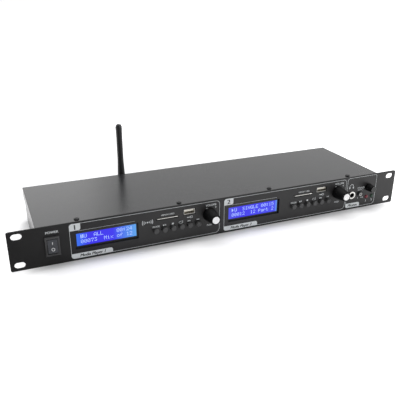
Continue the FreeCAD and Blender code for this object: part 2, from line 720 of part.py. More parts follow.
def make_rear_wall():
    """Rear wall with openings for the mains inlet, the phono sockets and the antenna."""
    inner = f"{TRAY_REAR} - sheet_thick"
    body = make_end_plate("rear_wall", inner)
    openings = front_sketch(body, inner)
    rectangle(openings, "inlet_x", "inlet_z", f"{INLET_WIDTH} + 2 * inlet_gap",
              f"{INLET_HEIGHT} + 2 * inlet_gap")
    for middle in PHONO_PLACES:
        circle(openings, middle, "phono_z", "phono_radius + phono_gap")
    circle(openings, "antenna_x", "0", "thread_radius + thread_gap")
    for screw in COVER_SCREWS:
        circle(openings, screw, f"{CASE_TOP} - screw_drop", "screw_radius")
    pocket(body, openings, "1.5 * sheet_thick")
    return finished(body)


def make_top_cover():
    """Top sheet with side and rear lips, held by screws at the front and on the rear lip."""
    body = new_body("top_cover")
    outside = new_sketch(body, "XY_Plane", f"{CASE_TOP} - lip_height")
    rectangle(outside, "0", "case_depth / 2", "case_width", "case_depth")
    pad(body, outside, "lip_height")
    soften(body, "bend_radius", lambda edge: (lies_at(edge, "Z", CASE_TOP)
                                              and not lies_at(edge, "Y", "0")))
    inside = new_sketch(body, "XY_Plane", f"{CASE_TOP} - lip_height")
    rectangle(inside, "0", "(case_depth - 2 * sheet_thick) / 2", f"2 * {TRAY_HALF}", "case_depth")
    pocket(body, inside, "lip_height - sheet_thick", reverse=True)
    holes = new_sketch(body, "XY_Plane", CASE_TOP)
    for screw in COVER_SCREWS:
        circle(holes, screw, "screw_setback", "screw_radius + screw_gap")
    pocket(body, holes, "1.5 * sheet_thick")
    rear = front_sketch(body, f"{TRAY_REAR} - sheet_thick / 2")
    for screw in COVER_SCREWS:
        circle(rear, screw, f"{CASE_TOP} - screw_drop", "screw_radius + screw_gap")
    pocket(body, rear, "2 * sheet_thick")
    return finished(body)


def screw_at(name, axis, seat, x="0", y="0", z="0"):
    """Make a pan-head screw along an axis, with its head standing on a seat."""
    shank = rod(f"{name}_shank", axis, (f"{seat} - screw_length", seat), "screw_radius", x, y, z)
    head = rod(f"{name}_head", axis, (seat, f"{seat} + head_height"), "head_radius", x, y, z)
    return join(name, [shank, head])


def make_cover_screws():
    """Eight pan-head screws: four down into the flange, four into the rear wall."""
    screws = []
    for number, across in enumerate(COVER_SCREWS, start=1):
        screws.append(screw_at(f"top_screw_{number}", "Z", CASE_TOP, x=across, y="screw_setback"))
        screws.append(screw_at(f"rear_screw_{number}", "Y", "case_depth", x=across,
                               z=f"{CASE_TOP} - screw_drop"))
    return finished(group("cover_screws", screws))


def nut_at(name, span, corner, bore, x, z):
    """Make a hexagonal nut about an axis that runs front to back."""
    outside = hexagon(f"{name}_outside", "Y", span, corner, x=x, z=z)
    hole = rod(f"{name}_hole", "Y", span, bore, x=x, z=z)
    return minus(name, outside, [hole])


def stud_at(name, seat, end, x, z, spacer=None):
    """Stud pressed into the panel, with its nut tight on a seat and perhaps a spacer."""
    pieces = [rod(f"{name}_shank", "Y", ("0", end), "screw_radius", x=x, z=z),
              hexagon(f"{name}_nut", "Y", (seat, f"{seat} + nut_height"), "nut_corner", x=x, z=z)]
    if spacer:
        pieces.append(hexagon(f"{name}_spacer", "Y", ("0", spacer), "nut_corner", x=x, z=z))
    return join(name, pieces)


def make_panel_studs():
    """Studs behind the panel, with the nuts that hold the rail and the display boards."""
    studs = []
    board_back = "board_front + board_thick"
    for player in PLAYERS:
        for place_name in ("stud_left", "stud_right"):
            studs.append(stud_at(f"rail_{place_name}_{player}", "sheet_thick", "stud_length",
                                 f"{place_name} + {shift(player)}", "stud_rise - panel_height / 2"))
        for number, (x, z) in enumerate(display_corners(player)):
            studs.append(stud_at(f"display_stud_{player}_{number}", board_back,
                                 f"{board_back} + nut_height + stud_end", x, z, "board_front"))
    return finished(group("panel_studs", studs))


# Power switch
def make_switch_housing():
    """Snap-in housing with a raised bezel, a cavity for the rocker and two terminals."""
    body = new_body("switch_housing")
    bezel = front_sketch(body, FRONT)
    rectangle(bezel, "switch_x", "0", f"{HOUSING_WIDTH} + 2 * housing_rim",
              f"{HOUSING_HEIGHT} + 2 * housing_rim")
    pad(body, bezel, "housing_proud")
    bezel_front = "-panel_thick - housing_proud"
    break_edges(body, "rim_bevel",
                lambda edge: runs_along(edge, "Y") or lies_at(edge, "Y", bezel_front))
    shell = front_sketch(body, FRONT)
    rectangle(shell, "switch_x", "0", HOUSING_WIDTH, HOUSING_HEIGHT)
    pad(body, shell, "panel_thick + housing_depth", reverse=True)
    cavity = front_sketch(body, bezel_front)
    rectangle(cavity, "switch_x", "0", CAVITY_WIDTH, CAVITY_HEIGHT)
    pocket(body, cavity, "housing_proud + panel_thick + housing_depth - housing_floor")
    pivots = new_sketch(body, "YZ_Plane", f"switch_x + {HOUSING_WIDTH} / 2 + housing_rim")
    circle(pivots, "rocker_pivot", "0", "trunnion_radius + trunnion_gap")
    pocket(body, pivots, f"{HOUSING_WIDTH} + 2 * housing_rim")
    blades = front_sketch(body, "housing_depth")
    for side in "-+":
        rectangle(blades, "switch_x", f"0 {side} blade_offset", "blade_width", "blade_thick")
    pad(body, blades, "blade_length", reverse=True)
    return finished(body)


def make_switch_rocker():
    """Rocker with a shallow valley in its front, tipped to its ON end, on two pivot pins."""
    body = new_body("switch_rocker")
    section = new_sketch(body, "YZ_Plane", "-rocker_width / 2")
    upper = [("-rocker_end", "rocker_height / 2"), ("-rocker_gap", "rocker_height / 2"),
             ("trunnion_radius", "rocker_height * 0.4"), ("rocker_keel", "rocker_height * 0.14")]
    lower = [(depth, f"-{level}") for depth, level in reversed(upper)]
    polygon(section, [("-rocker_valley", "0"), *upper, *lower])
    pad(body, section, "rocker_width")
    soften(body, "nose_round / 2", lambda edge: lies_at(edge, "Y", "-rocker_end"))
    pins = new_sketch(body, "YZ_Plane", "-rocker_width / 2 - trunnion_length")
    circle(pins, "0", "0", "trunnion_radius")
    pad(body, pins, "rocker_width + 2 * trunnion_length")
    tip = FreeCAD.Rotation(FreeCAD.Vector(1, 0, 0), -value("rocker_swing") / 2)
    body.Placement = FreeCAD.Placement(FreeCAD.Vector(), tip)
    place(body, x="switch_x", y="rocker_pivot")
    return finished(body)


# Displays
def make_display(player):
    """One character display: steel bezel, glass, and board with its backlight block."""
    x, z = f"display_x + {shift(player)}", "display_z"
    glass_front = "bezel_gap + bezel_sheet"
    outside = block(f"bezel_outside_{player}", around(x, "bezel_width"), ("bezel_gap", "board_front"),
                    around(z, "bezel_height"))
    inside = block(f"bezel_inside_{player}", around(x, "bezel_width - 2 * bezel_sheet"),
                   (glass_front, "board_front"), around(z, "bezel_height - 2 * bezel_sheet"))
    view = block(f"bezel_view_{player}", around(x, "view_width"), ("bezel_gap", "board_front"),
                 around(z, "view_height"))
    finished(minus(f"display_bezel_{player}", outside, [inside, view]))
    finished(block(f"display_glass_{player}", around(x, "view_width + 2 * view_margin"),
                   (glass_front, f"{glass_front} + glass_thick"),
                   around(z, "view_height + 2 * view_margin")))
    backlight = block(f"backlight_{player}", around(x, "bezel_width - 4 * bezel_sheet"),
                      (f"{glass_front} + glass_thick", "board_front"),
                      around(z, "bezel_height - 4 * bezel_sheet"))
    back = ("board_front", "board_front + board_thick")
    plate = block(f"display_plate_{player}", around(x, "display_board_width"), back,
                  around(z, "display_board_height"))
    holes = [rod(f"display_hole_{player}_{number}", "Y", back, "screw_radius + screw_gap",
                 x=corner[0], z=corner[1])
             for number, corner in enumerate(display_corners(player))]
    finished(minus(f"display_board_{player}", join(f"display_stack_{player}", [backlight, plate]),
                   holes))


# Card and USB sockets with the board that carries them
def make_media_sockets(player):
    """One card socket and one USB socket side by side."""
    card, usb = f"card_x + {shift(player)}", f"usb_x + {shift(player)}"
    slot_z = around("card_z", "card_gap_height")
    card_front = "bezel_gap"
    case = block(f"card_case_{player}", around(card, "card_width + 2 * card_wall"),
                 (card_front, f"{card_front} + card_depth + card_wall"),
                 (MEDIA_TOP, f"{slot_z[1]} + card_lid"))
    slot = block(f"card_cavity_{player}", around(card, "card_width"),
                 (card_front, f"{card_front} + card_depth"), slot_z)
    finished(minus(f"card_socket_{player}", case, [slot]))

    mouth = f"{FRONT} + shell_setback"
    shell_end = f"{mouth} + shell_length"
    outside = block(f"shell_outside_{player}", around(usb, "shell_width"), (mouth, shell_end),
                    around("usb_z", "shell_height"))
    inside = block(f"shell_inside_{player}", around(usb, "shell_width - 2 * shell_wall"),
                   (mouth, shell_end), around("usb_z", "shell_height - 2 * shell_wall"))
    finished(minus(f"usb_shell_{player}", outside, [inside]))

    tip = f"{mouth} + tongue_setback"
    root = f"{tip} + tongue_length"
    tongue = block(f"tongue_{player}", around(usb, "tongue_width"), (tip, root),
                   ("usb_z", "usb_z + tongue_thick"))
    plug = block(f"tongue_plug_{player}", around(usb, "shell_width - 2 * shell_wall"),
                 (root, shell_end), around("usb_z", "shell_height - 2 * shell_wall"))
    back = block(f"tongue_back_{player}", around(usb, "shell_width"),
                 (shell_end, f"{shell_end} + card_wall"), (MEDIA_TOP, "usb_z + shell_height / 2"))
    foot = block(f"tongue_foot_{player}", around(usb, "shell_width"),
                 ("media_setback", f"{shell_end} + card_wall"),
                 (MEDIA_TOP, "usb_z - shell_height / 2"))
    finished(join(f"usb_tongue_{player}", [tongue, plug, back, foot]))


def media_board(player):
    """Make the pieces of the board under the two sockets, with its pin header."""
    card, usb = f"card_x + {shift(player)}", f"usb_x + {shift(player)}"
    left = f"{card} - card_width / 2 - card_wall - media_margin"
    right = f"{usb} + shell_width / 2 + media_margin"
    depth = ("media_setback", "media_setback + media_depth")
    plate = block(f"media_plate_{player}", (left, right), depth,
                  (f"{MEDIA_TOP} - board_thick", MEDIA_TOP))
    chip = block(f"media_chip_{player}", around(usb, "shell_width"),
                 ("media_depth - shell_width", "media_depth"), (MEDIA_TOP, f"{MEDIA_TOP} + board_thick"))
    header_front = "board_front + board_thick"
    header = block(f"media_header_{player}", around(card, "header_width"),
                   (header_front, f"{header_front} + header_thick"),
                   (f"{MEDIA_TOP} - board_thick - header_height", f"{MEDIA_TOP} - board_thick"))
    return [plate, chip, header]


# Keys
def make_switch_board(label, corners, switches):
    """Upright board that carries tact switches, each with a well for a key's stem."""
    body = new_body(label)
    plate = front_sketch(body, "board_front")
    polygon(plate, corners)
    pad(body, plate, "board_thick", reverse=True)
    housings = front_sketch(body, "board_front")
    for x, z in switches:
        rectangle(housings, x, z, "tact_size", "tact_size")
    pad(body, housings, "tact_height")
    wells = front_sketch(body, "board_front - tact_height")
    for x, z in switches:
        circle(wells, x, z, "key_stem + key_gap")
    pocket(body, wells, "tact_well")
    return body


def make_control_board(player):
    """Key board of one player, stepped up at the volume control, with its media board."""
    move = shift(player)
    left, right = f"key_board_left + {move}", f"key_board_right + {move}"
    step = f"key_board_step + {move}"
    corners = [(left, "key_board_low"), (right, "key_board_low"), (right, "key_board_top"),
               (step, "key_board_top"), (step, "key_board_mid"), (left, "key_board_mid")]
    switches = [(key_place(player, number), "key_z") for number in range(len(KEY_NAMES))]
    keys = make_switch_board(f"key_board_{player}", corners, switches)
    return finished(join(f"control_board_{player}", [keys, *media_board(player)]))


def make_key(label, x, z, radius, proud, dimple=None):
    """Key cap with a flange behind the panel and a stem into its switch."""
    face = f"{FRONT} - {proud}"
    flange = ("key_gap", "key_gap + key_flange_thick")
    stem_end = "board_front - tact_height + stem_reach"
    middle = [(face, "0")]
    if dimple:
        middle = [(f"{face} + key_chamfer", "0"), (f"{face} + key_chamfer", dimple), (face, dimple)]
    outline = [*middle, (face, f"{radius} - key_chamfer"), (f"{face} + key_chamfer", radius),
               (flange[0], radius), (flange[0], f"{radius} + key_flange"),
               (flange[1], f"{radius} + key_flange"), (flange[1], "key_stem"),
               (stem_end, "key_stem"), (stem_end, "0")]
    return finished(turned(label, outline, x, z))


# Rotary controls
def make_control_body(label, x, z, width, height, proud):
    """Square body of a rotary control with its round bushing, bored for the shaft."""
    body = block(f"{label}_body", around(x, width), ("0", "board_front"), around(z, height))
    bushing = rod(f"{label}_bushing", "Y", (f"{FRONT} - {proud}", "0"), "bushing_radius", x=x, z=z)
    bore = rod(f"{label}_bore", "Y", (f"{FRONT} - {proud}", "shaft_tail + shaft_gap"),
               "shaft_radius + shaft_gap", x=x, z=z)
    return finished(minus(label, join(f"{label}_solid", [body, bushing]), [bore]))


def make_shaft(label, x, z, length):
    """Plain shaft from inside the control's body to the blind end of the knob's bore."""
    tip = f"{FRONT} - knob_gap - ({length})"
    outline = [(tip, "0"), (tip, "shaft_radius"), ("shaft_tail", "shaft_radius"),
               ("shaft_tail", "0")]
    return finished(turned(label, outline, x, z))


def make_volume_control(player):
    """Encoder, shaft, tapered knob with a hollow for the nut, and bright end cap."""
    x, z = f"volume_x + {shift(player)}", "volume_z"
    make_control_body(f"volume_encoder_{player}", x, z, "encoder_width", "encoder_height",
                      "bushing_proud")
    make_shaft(f"volume_shaft_{player}", x, z, "knob_length - shaft_stop")
    foot = f"{FRONT} - knob_gap"
    nose = f"{foot} - knob_length"
    seat = f"{nose} + cap_thick - cap_proud"
    hollow = f"{FRONT} - bushing_proud - knob_gap"
    bore_end = f"{nose} + shaft_stop"
    outline = [(foot, "knob_recess"), (foot, "knob_base"), (f"{foot} - knob_skirt", "knob_base"),
               *reversed(rounded_nose(nose, "knob_nose", "nose_round")),
               (nose, "cap_radius"), (seat, "cap_radius"), (seat, "0"),
               (bore_end, "0"), (bore_end, "shaft_radius"), (hollow, "shaft_radius"),
               (hollow, "knob_recess")]
    finished(turned(f"volume_knob_{player}", outline, x, z))
    face = f"{nose} - cap_proud"
    cap = [(seat, "0"), (seat, "cap_radius"), (f"{face} + cap_chamfer", "cap_radius"),
           (face, "cap_radius - cap_chamfer"), (face, "0")]
    finished(turned(f"volume_cap_{player}", cap, x, z))


def make_level_control():
    """Headphone level: potentiometer, shaft and small tapered knob."""
    x, z = "level_x", "level_z"
    make_control_body("level_control", x, z, "pot_width", "pot_height", "0")
    make_shaft("level_shaft", x, z, "level_length - level_wall")
    foot = f"{FRONT} - knob_gap"
    nose = f"{foot} - level_length"
    outline = [(foot, "shaft_radius"), (foot, "level_base"), (f"{foot} - level_skirt", "level_base"),
               *reversed(rounded_nose(nose, "level_nose", "nose_round")), (nose, "0"),
               (f"{nose} + level_wall", "0"), (f"{nose} + level_wall", "shaft_radius")]
    return finished(turned("level_knob", outline, x, z))


def make_front_nuts():
    """Nuts on the two bushings and the ring nut on the headphone sleeve."""
    nuts = [nut_at(f"bushing_nut_{player}", (f"{FRONT} - big_nut_height", FRONT), "big_nut_corner",
                   "bushing_radius", f"volume_x + {shift(player)}", "volume_z")
            for player in PLAYERS]
    span = (f"{FRONT} - ring_height", FRONT)
    ring = rod("ring_outside", "Y", span, "ring_radius", x="phones_x", z="phones_z")
    hole = rod("ring_hole", "Y", span, "sleeve_radius", x="phones_x", z="phones_z")
    return finished(group("front_nuts", [*nuts, minus("ring_nut", ring, [hole])]))


# Headphone block
def make_phones_socket():
    """Headphone socket: square body with a threaded sleeve and a blind bore for the plug."""
    x, z = "phones_x", "phones_z"
    body = block("phones_body", around(x, "phones_width"), ("0", "phones_depth"),
                 around(z, "phones_height"))
    face = f"{FRONT} - ring_height"
    sleeve = rod("phones_sleeve", "Y", (face, "0"), "sleeve_radius", x=x, z=z)
    bore = rod("phones_hole", "Y", (face, "phones_depth - phones_end"), "phones_bore", x=x, z=z)
    return finished(minus("phones_socket", join("phones_solid", [body, sleeve]), [bore]))


def make_lamp(label, x):
    """Round lamp with a domed front, a rim behind the panel and two leads."""
    face = f"{FRONT} - lamp_proud"
    rim = ("key_gap", "key_gap + key_flange_thick")
    outline = [(face, "0"), *rounded_nose(face, "lamp_radius", "lamp_dome"),
               (rim[0], "lamp_radius"),
               (rim[0], "lamp_radius + lamp_flange"), (rim[1], "lamp_radius + lamp_flange"),
               (rim[1], "lamp_radius"), ("lamp_tail", "lamp_radius"), ("lamp_tail", "0")]
    lamp = turned(label, outline, x, "lamp_z")
    leads = front_sketch(lamp, "lamp_tail")
    for side in "-+":
        rectangle(leads, f"0 {side} lead_offset", "0", "lead_side", "lead_side")
    pad(lamp, leads, "board_front - lamp_tail", reverse=True)
    return finished(lamp)


def make_phones_board():
    """Upright board of the headphone block, with the select switch."""
    left, right = "phones_board_left", "phones_board_right"
    corners = [(left, "key_board_low"), (right, "key_board_low"), (right, "key_board_top"),
               (left, "key_board_top")]
    return finished(make_switch_board("phones_board", corners, [("select_x", "select_z")]))


# Boards on the floor of the tray
def board_posts(label, x, y):
    """Make the four spacers that stand a flat board on the tray's floor."""
    return [rod(f"{label}_post_{side}{end}", "Z", (FLOOR, BOARD_Z), "post_radius",
                x=(f"{x[0]} + post_inset", f"{x[1]} - post_inset")[side],
                y=(f"{y[0]} + post_inset", f"{y[1]} - post_inset")[end])
            for side in (0, 1) for end in (0, 1)]


def make_power_board():
    """Mains supply: board with transformer, two smoothing capacitors and its spacers."""
    left, near = "power_left", "power_front"
    posts = board_posts("power", (left, f"{left} + power_width"), (near, f"{near} + power_depth"))
    plate = block("power_plate", (left, f"{left} + power_width"), (near, f"{near} + power_depth"),
                  (BOARD_Z, BOARD_TOP))
    edge = f"{left} + 2 * post_inset"
    row = f"{near} + 2 * post_inset"
    trafo = block("transformer", (edge, f"{edge} + trafo_width"), (row, f"{row} + trafo_depth"),
                  (BOARD_TOP, f"{BOARD_TOP} + trafo_height"))
    cans = [rod(f"smoothing_{number}", "Z", (BOARD_TOP, f"{BOARD_TOP} + can_height"), "can_radius",
                x=f"{edge} + trafo_width + {2 * number + 1} * 1.3 * can_radius",
                y=f"{row} + trafo_depth / 2")
            for number in (0, 1)]
    return finished(join("power_board", [plate, trafo, *cans, *posts]))


def make_audio_board():
    """Output board under the phono sockets, with two amplifier chips and its spacers."""
    end = f"{TRAY_REAR} - sheet_thick - media_margin"
    span = ("audio_left", "audio_left + audio_width")
    depth = (f"{end} - audio_depth", end)
    plate = block("audio_plate", span, depth, (BOARD_Z, BOARD_TOP))
    chips = [block(f"audio_chip_{number}",
                   around(f"audio_left + audio_width * {share}", "phono_block"),
                   (f"{end} - audio_depth + post_inset", f"{end} - audio_depth + 2 * post_inset"),
                   (BOARD_TOP, f"{BOARD_TOP} + 2 * board_thick"))
             for number, share in enumerate((0.3, 0.7))]
    return finished(join("audio_board", [plate, *chips, *board_posts("audio", span, depth)]))


# Rear connectors
def make_phono_sockets():
    """Four phono sockets, each with a block on the board, a collar and a centre contact."""
    sockets = []
    inner = f"{TRAY_REAR} - sheet_thick"
    for number, x in enumerate(PHONO_PLACES, start=1):
        body = block(f"phono_block_{number}", around(x, "phono_block"),
                     (f"{inner} - phono_block", inner),
                     (BOARD_TOP, "phono_z + phono_block / 2"))
        barrel = rod(f"phono_barrel_{number}", "Y", (inner, f"{TRAY_REAR} + phono_proud"),
                     "phono_radius", x=x, z="phono_z")
        collar = rod(f"phono_collar_{number}", "Y",
                     (TRAY_REAR, f"{TRAY_REAR} + phono_collar_thick"), "phono_collar",
                     x=x, z="phono_z")
        contact = rod(f"phono_contact_{number}", "Y",
                      (f"{TRAY_REAR} + phono_proud - phono_contact_depth",
                       f"{TRAY_REAR} + phono_proud"), "phono_contact", x=x, z="phono_z")
        solid = join(f"phono_solid_{number}", [body, barrel, collar])
        sockets.append(minus(f"phono_socket_{number}", solid, [contact]))
    return finished(group("phono_sockets", sockets))


def make_mains_inlet():
    """Three-pin mains inlet: flange, body, recess with sloped corners, and prongs."""
    body = new_body("mains_inlet")
    flange = front_sketch(body, TRAY_REAR)
    rectangle(flange, "inlet_x", "inlet_z", f"{INLET_WIDTH} + 2 * inlet_flange",
              f"{INLET_HEIGHT} + 2 * inlet_flange")
    pad(body, flange, "inlet_flange_thick", reverse=True)
    mouth = f"{TRAY_REAR} + inlet_flange_thick"
    soften(body, "inlet_flange / 2", lambda edge: runs_along(edge, "Y"))
    shell = front_sketch(body, TRAY_REAR)
    rectangle(shell, "inlet_x", "inlet_z", INLET_WIDTH, INLET_HEIGHT)
    pad(body, shell, "inlet_recess + inlet_floor - inlet_flange_thick")
    recess = front_sketch(body, mouth)
    left, right = "inlet_x - inlet_width / 2", "inlet_x + inlet_width / 2"
    low, high = "inlet_z - inlet_height / 2", "inlet_z + inlet_height / 2"
    polygon(recess, [(left, low), (right, low), (right, f"{high} - inlet_bevel"),
                     (f"{right} - inlet_bevel", high), (f"{left} + inlet_bevel", high),
                     (left, f"{high} - inlet_bevel")])
    pocket(body, recess, "inlet_recess", reverse=True)
    prongs = front_sketch(body, f"{mouth} - inlet_recess")
    for x, z in (("inlet_x - prong_spread", "inlet_z - prong_offset"),
                 ("inlet_x", "inlet_z + prong_offset"),
                 ("inlet_x + prong_spread", "inlet_z - prong_offset")):
        rectangle(prongs, x, z, "prong_width", "prong_height")
    pad(body, prongs, "inlet_recess - prong_end", reverse=True)
    return finished(body)


# Antenna
def make_antenna_socket():
    """Threaded bulkhead socket, clamped through the rear wall by its nut."""
    inner = f"{TRAY_REAR} - sheet_thick"
    flange = rod("socket_flange_ring", "Y", (f"{inner} - socket_flange_thick", inner), "socket_flange",
                 x="antenna_x")
    thread = rod("socket_thread", "Y", (inner, f"{TRAY_REAR} + thread_proud"), "thread_radius",
                 x="antenna_x")
    nut = hexagon("socket_nut", "Y", (TRAY_REAR, f"{TRAY_REAR} + socket_nut_height"),
                  "socket_nut_corner", x="antenna_x")
    return finished(join("antenna_socket", [flange, thread, nut]))


def make_antenna_nut():
    """Coupling nut screwed onto the socket, with a bearing hole in its end wall."""
    inner = f"{COUPLING_FACE} - coupling_end"
    outline = [(COUPLING_START, "thread_radius"), (COUPLING_START, "coupling_radius"),
               (COUPLING_FACE, "coupling_radius"), (COUPLING_FACE, "spigot_radius + spigot_gap"),
               (inner, "spigot_radius + spigot_gap"), (inner, "thread_radius")]
    return finished(turned("antenna_nut", outline, "antenna_x", "0"))


def make_antenna_base():
    """Swivelling base: spigot in the coupling nut, foot, two cheeks and the hinge pin."""
    x = "antenna_x"
    spigot_start = f"{TRAY_REAR} + thread_proud + coupling_gap"
    spigot = rod("base_spigot", "Y", (spigot_start, BASE_START), "spigot_radius", x=x)
    foot_end = f"{BASE_START} + base_thick"
    foot = rod("base_foot", "Y", (BASE_START, foot_end), "base_radius", x=x)
    pieces = [spigot, foot]
    spans = ((f"{x} - cheek_outside", f"{x} - cheek_inside"),
             (f"{x} + cheek_inside", f"{x} + cheek_outside"))
    for number, span in enumerate(spans):
        web = block(f"cheek_web_{number}", span, (BASE_START, HINGE_Y),
                    ("-cheek_radius", "cheek_radius"))
        eye = rod(f"cheek_eye_{number}", "X", span, "cheek_radius", y=HINGE_Y)
        pieces += [web, eye]
    pieces.append(rod("base_pin", "X", (spans[0][0], spans[1][1]), "hinge_pin", y=HINGE_Y))
    return finished(join("antenna_base", pieces))


def make_antenna_whip():
    """Upright whip: knuckle on the hinge pin, stout foot, thin stretch and rounded tip."""
    turned_whip = new_body("whip_turned")
    section = new_sketch(turned_whip, "XZ_Plane")
    polygon(section, [("0", "whip_shoulder"), ("whip_foot", "whip_shoulder"),
                      ("whip_foot", "whip_foot_top"), ("whip_waist", "whip_waist_low"),
                      ("whip_waist", "whip_waist_high"), ("whip_tip", "whip_length - whip_tip"),
                      ("whip_tip * (1 - nose_step)", "whip_length - whip_tip * nose_step"),
                      ("0", "whip_length")])
    feature = turned_whip.newObject("PartDesign::Revolution", "whip_turn")
    feature.Profile = section
    feature.ReferenceAxis = (section, ["V_Axis"])
    place(turned_whip, x="antenna_x", y=HINGE_Y)
    across = around("antenna_x", "2 * knuckle_half")
    eye = rod("knuckle_eye", "X", across, "knuckle_radius", y=HINGE_Y)
    neck = block("knuckle_neck", across, around(HINGE_Y, "2 * knuckle_radius"),
                 ("0", "whip_shoulder"))
    bore = rod("knuckle_bore", "X", across, "hinge_pin + hinge_gap", y=HINGE_Y)
    solid = join("whip_solid", [turned_whip, eye, neck])
    return finished(minus("antenna_whip", solid, [bore]))


def check_model():
    """Stop if an object failed, a cut removed nothing, or a sub-part is not a sound solid."""
    for item in doc.Objects:
        if {"Invalid", "Error"} & set(item.State):
            raise RuntimeError(f"{item.Name} failed to compute: {item.State}")
    for cut in cuts:
        if cut.Shape.Volume > cut.BaseFeature.Shape.Volume - 1e-6:
            raise RuntimeError(f"{cut.Name} cuts nothing")
    for item in sub_parts:
        if item.Shape.isNull() or not item.Shape.isValid():
            raise RuntimeError(f"{item.Label} is not a valid shape")


def export_parts():
    """Write each sub-part to its own file, named by its label."""
    for item in sub_parts:
        item.Shape.exportStep(f"parts/{item.Label}.step")
        print(f"{item.Label}: {len(item.Shape.Solids)} solid(s), {item.Shape.Volume:.1f} mm3")
    print(len(sub_parts), "sub-parts")


make_front_panel()
make_panel_studs()
make_chassis_tray()
make_front_rail()
make_rear_wall()
make_top_cover()
make_cover_screws()
make_switch_housing()
make_switch_rocker()
for player in PLAYERS:
    make_display(player)
    make_media_sockets(player)
    make_control_board(player)
    for number, name in enumerate(KEY_NAMES):
        make_key(f"key_{name}_{player}", key_place(player, number), "key_z", "key_radius",
                 "key_proud")
    make_volume_control(player)
make_front_nuts()
make_phones_socket()
make_key("select_button", "select_x", "select_z", "select_radius", "select_proud", "select_dimple")
make_lamp("lamp_1", "lamp_left")
make_lamp("lamp_2", "lamp_right")
make_level_control()
make_phones_board()
make_power_board()
make_audio_board()
make_phono_sockets()
make_mains_inlet()
make_antenna_socket()
make_antenna_nut()
make_antenna_base()
make_antenna_whip()
doc.recompute()
check_model()
export_parts()
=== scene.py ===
# %% [markdown]
# # A rack-mount twin media player
# This lesson dresses a finished CAD model of a low, wide player for a 19-inch rack. The solids
# come in as they are, and the lesson gives them paint, plastic and plating, then adds what a
# solid model leaves out: the white printing, the characters on the two blue displays, the small
# crosses in the screws, and the coloured rings of the sockets at the back. We work in metres,
# with X to the right, Y to the rear and Z up.

# %% Load the model
import json
import math

import bmesh
import bpy
from mathutils import Matrix, Vector


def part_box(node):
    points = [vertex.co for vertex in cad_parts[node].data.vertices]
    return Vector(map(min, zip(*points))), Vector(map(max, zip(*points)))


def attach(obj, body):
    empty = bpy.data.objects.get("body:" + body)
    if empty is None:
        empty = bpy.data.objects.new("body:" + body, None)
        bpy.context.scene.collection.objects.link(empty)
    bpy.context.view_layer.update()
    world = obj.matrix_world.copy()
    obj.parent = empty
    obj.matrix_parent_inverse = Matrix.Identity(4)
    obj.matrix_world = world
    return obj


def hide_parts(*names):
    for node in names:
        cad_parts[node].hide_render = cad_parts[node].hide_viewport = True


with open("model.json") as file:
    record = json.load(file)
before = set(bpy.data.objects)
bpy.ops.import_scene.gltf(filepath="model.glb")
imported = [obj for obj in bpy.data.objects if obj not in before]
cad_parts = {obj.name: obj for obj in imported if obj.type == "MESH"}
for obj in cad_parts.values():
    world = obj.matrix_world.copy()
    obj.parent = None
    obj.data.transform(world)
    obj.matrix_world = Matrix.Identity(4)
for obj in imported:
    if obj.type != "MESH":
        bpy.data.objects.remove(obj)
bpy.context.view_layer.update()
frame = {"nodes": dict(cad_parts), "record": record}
nodes = frame["nodes"]
MM = 0.001


def mm(*values):
    """Millimetres as metres."""
    return [value * MM for value in values]


# %% [markdown]
# ## The camera
# The unit is wide and only 44 mm high, so a view from the left, a little above it, shows the
# front, the top and the thin left side together. Turning a camera by a compass angle, then by
# its height above the horizon, is easier to think about than three raw angles. We build the
# turn from those two and a hair of roll.

# %% Place the camera
camera = bpy.data.objects.new("camera", bpy.data.cameras.new("camera"))
camera.data.lens = 47.82
camera.data.sensor_width = 36
camera.data.clip_start = 0.01
STAND = Vector((-246.31, -504.14, 254.54)) * MM
compass, height, roll = (math.radians(angle) for angle in (-22.827, 22.885, 0.187))
aim = (Matrix.Rotation(compass, 4, "Z") @ Matrix.Rotation(math.pi / 2 - height, 4, "X")
       @ Matrix.Rotation(roll, 4, "Z"))
camera.matrix_world = Matrix.Translation(STAND) @ aim
bpy.context.collection.objects.link(camera)
bpy.context.scene.camera = camera
bpy.context.scene.view_settings.view_transform = "Standard"
print("camera stands", [round(v, 3) for v in STAND])

# %% [markdown]
# ## A base for every finish
# Every finish here starts from the Principled shader. What makes it look real is small and
# uneven: a tint that drifts a little, a gloss that is not the same everywhere, and a grain that
# catches the light. All three can come from noise on the object's own coordinates, so the
# pattern stays on the piece when it moves. One helper makes that base, and each finish sets its
# own numbers.

# %% Make a base material with a tint, an uneven gloss and a grain
DRIFT_SCALE, DRIFT_DETAIL, SPECK_DETAIL = 45, 5, 2
TINT_STOPS = 0.3, 0.7


def noise(tree, place, scale, detail):
    """Noise on a point."""
    texture = tree.nodes.new("ShaderNodeTexNoise")
    texture.inputs["Scale"].default_value = scale
    texture.inputs["Detail"].default_value = detail
    tree.links.new(place, texture.inputs["Vector"])
    return texture.outputs["Fac"]


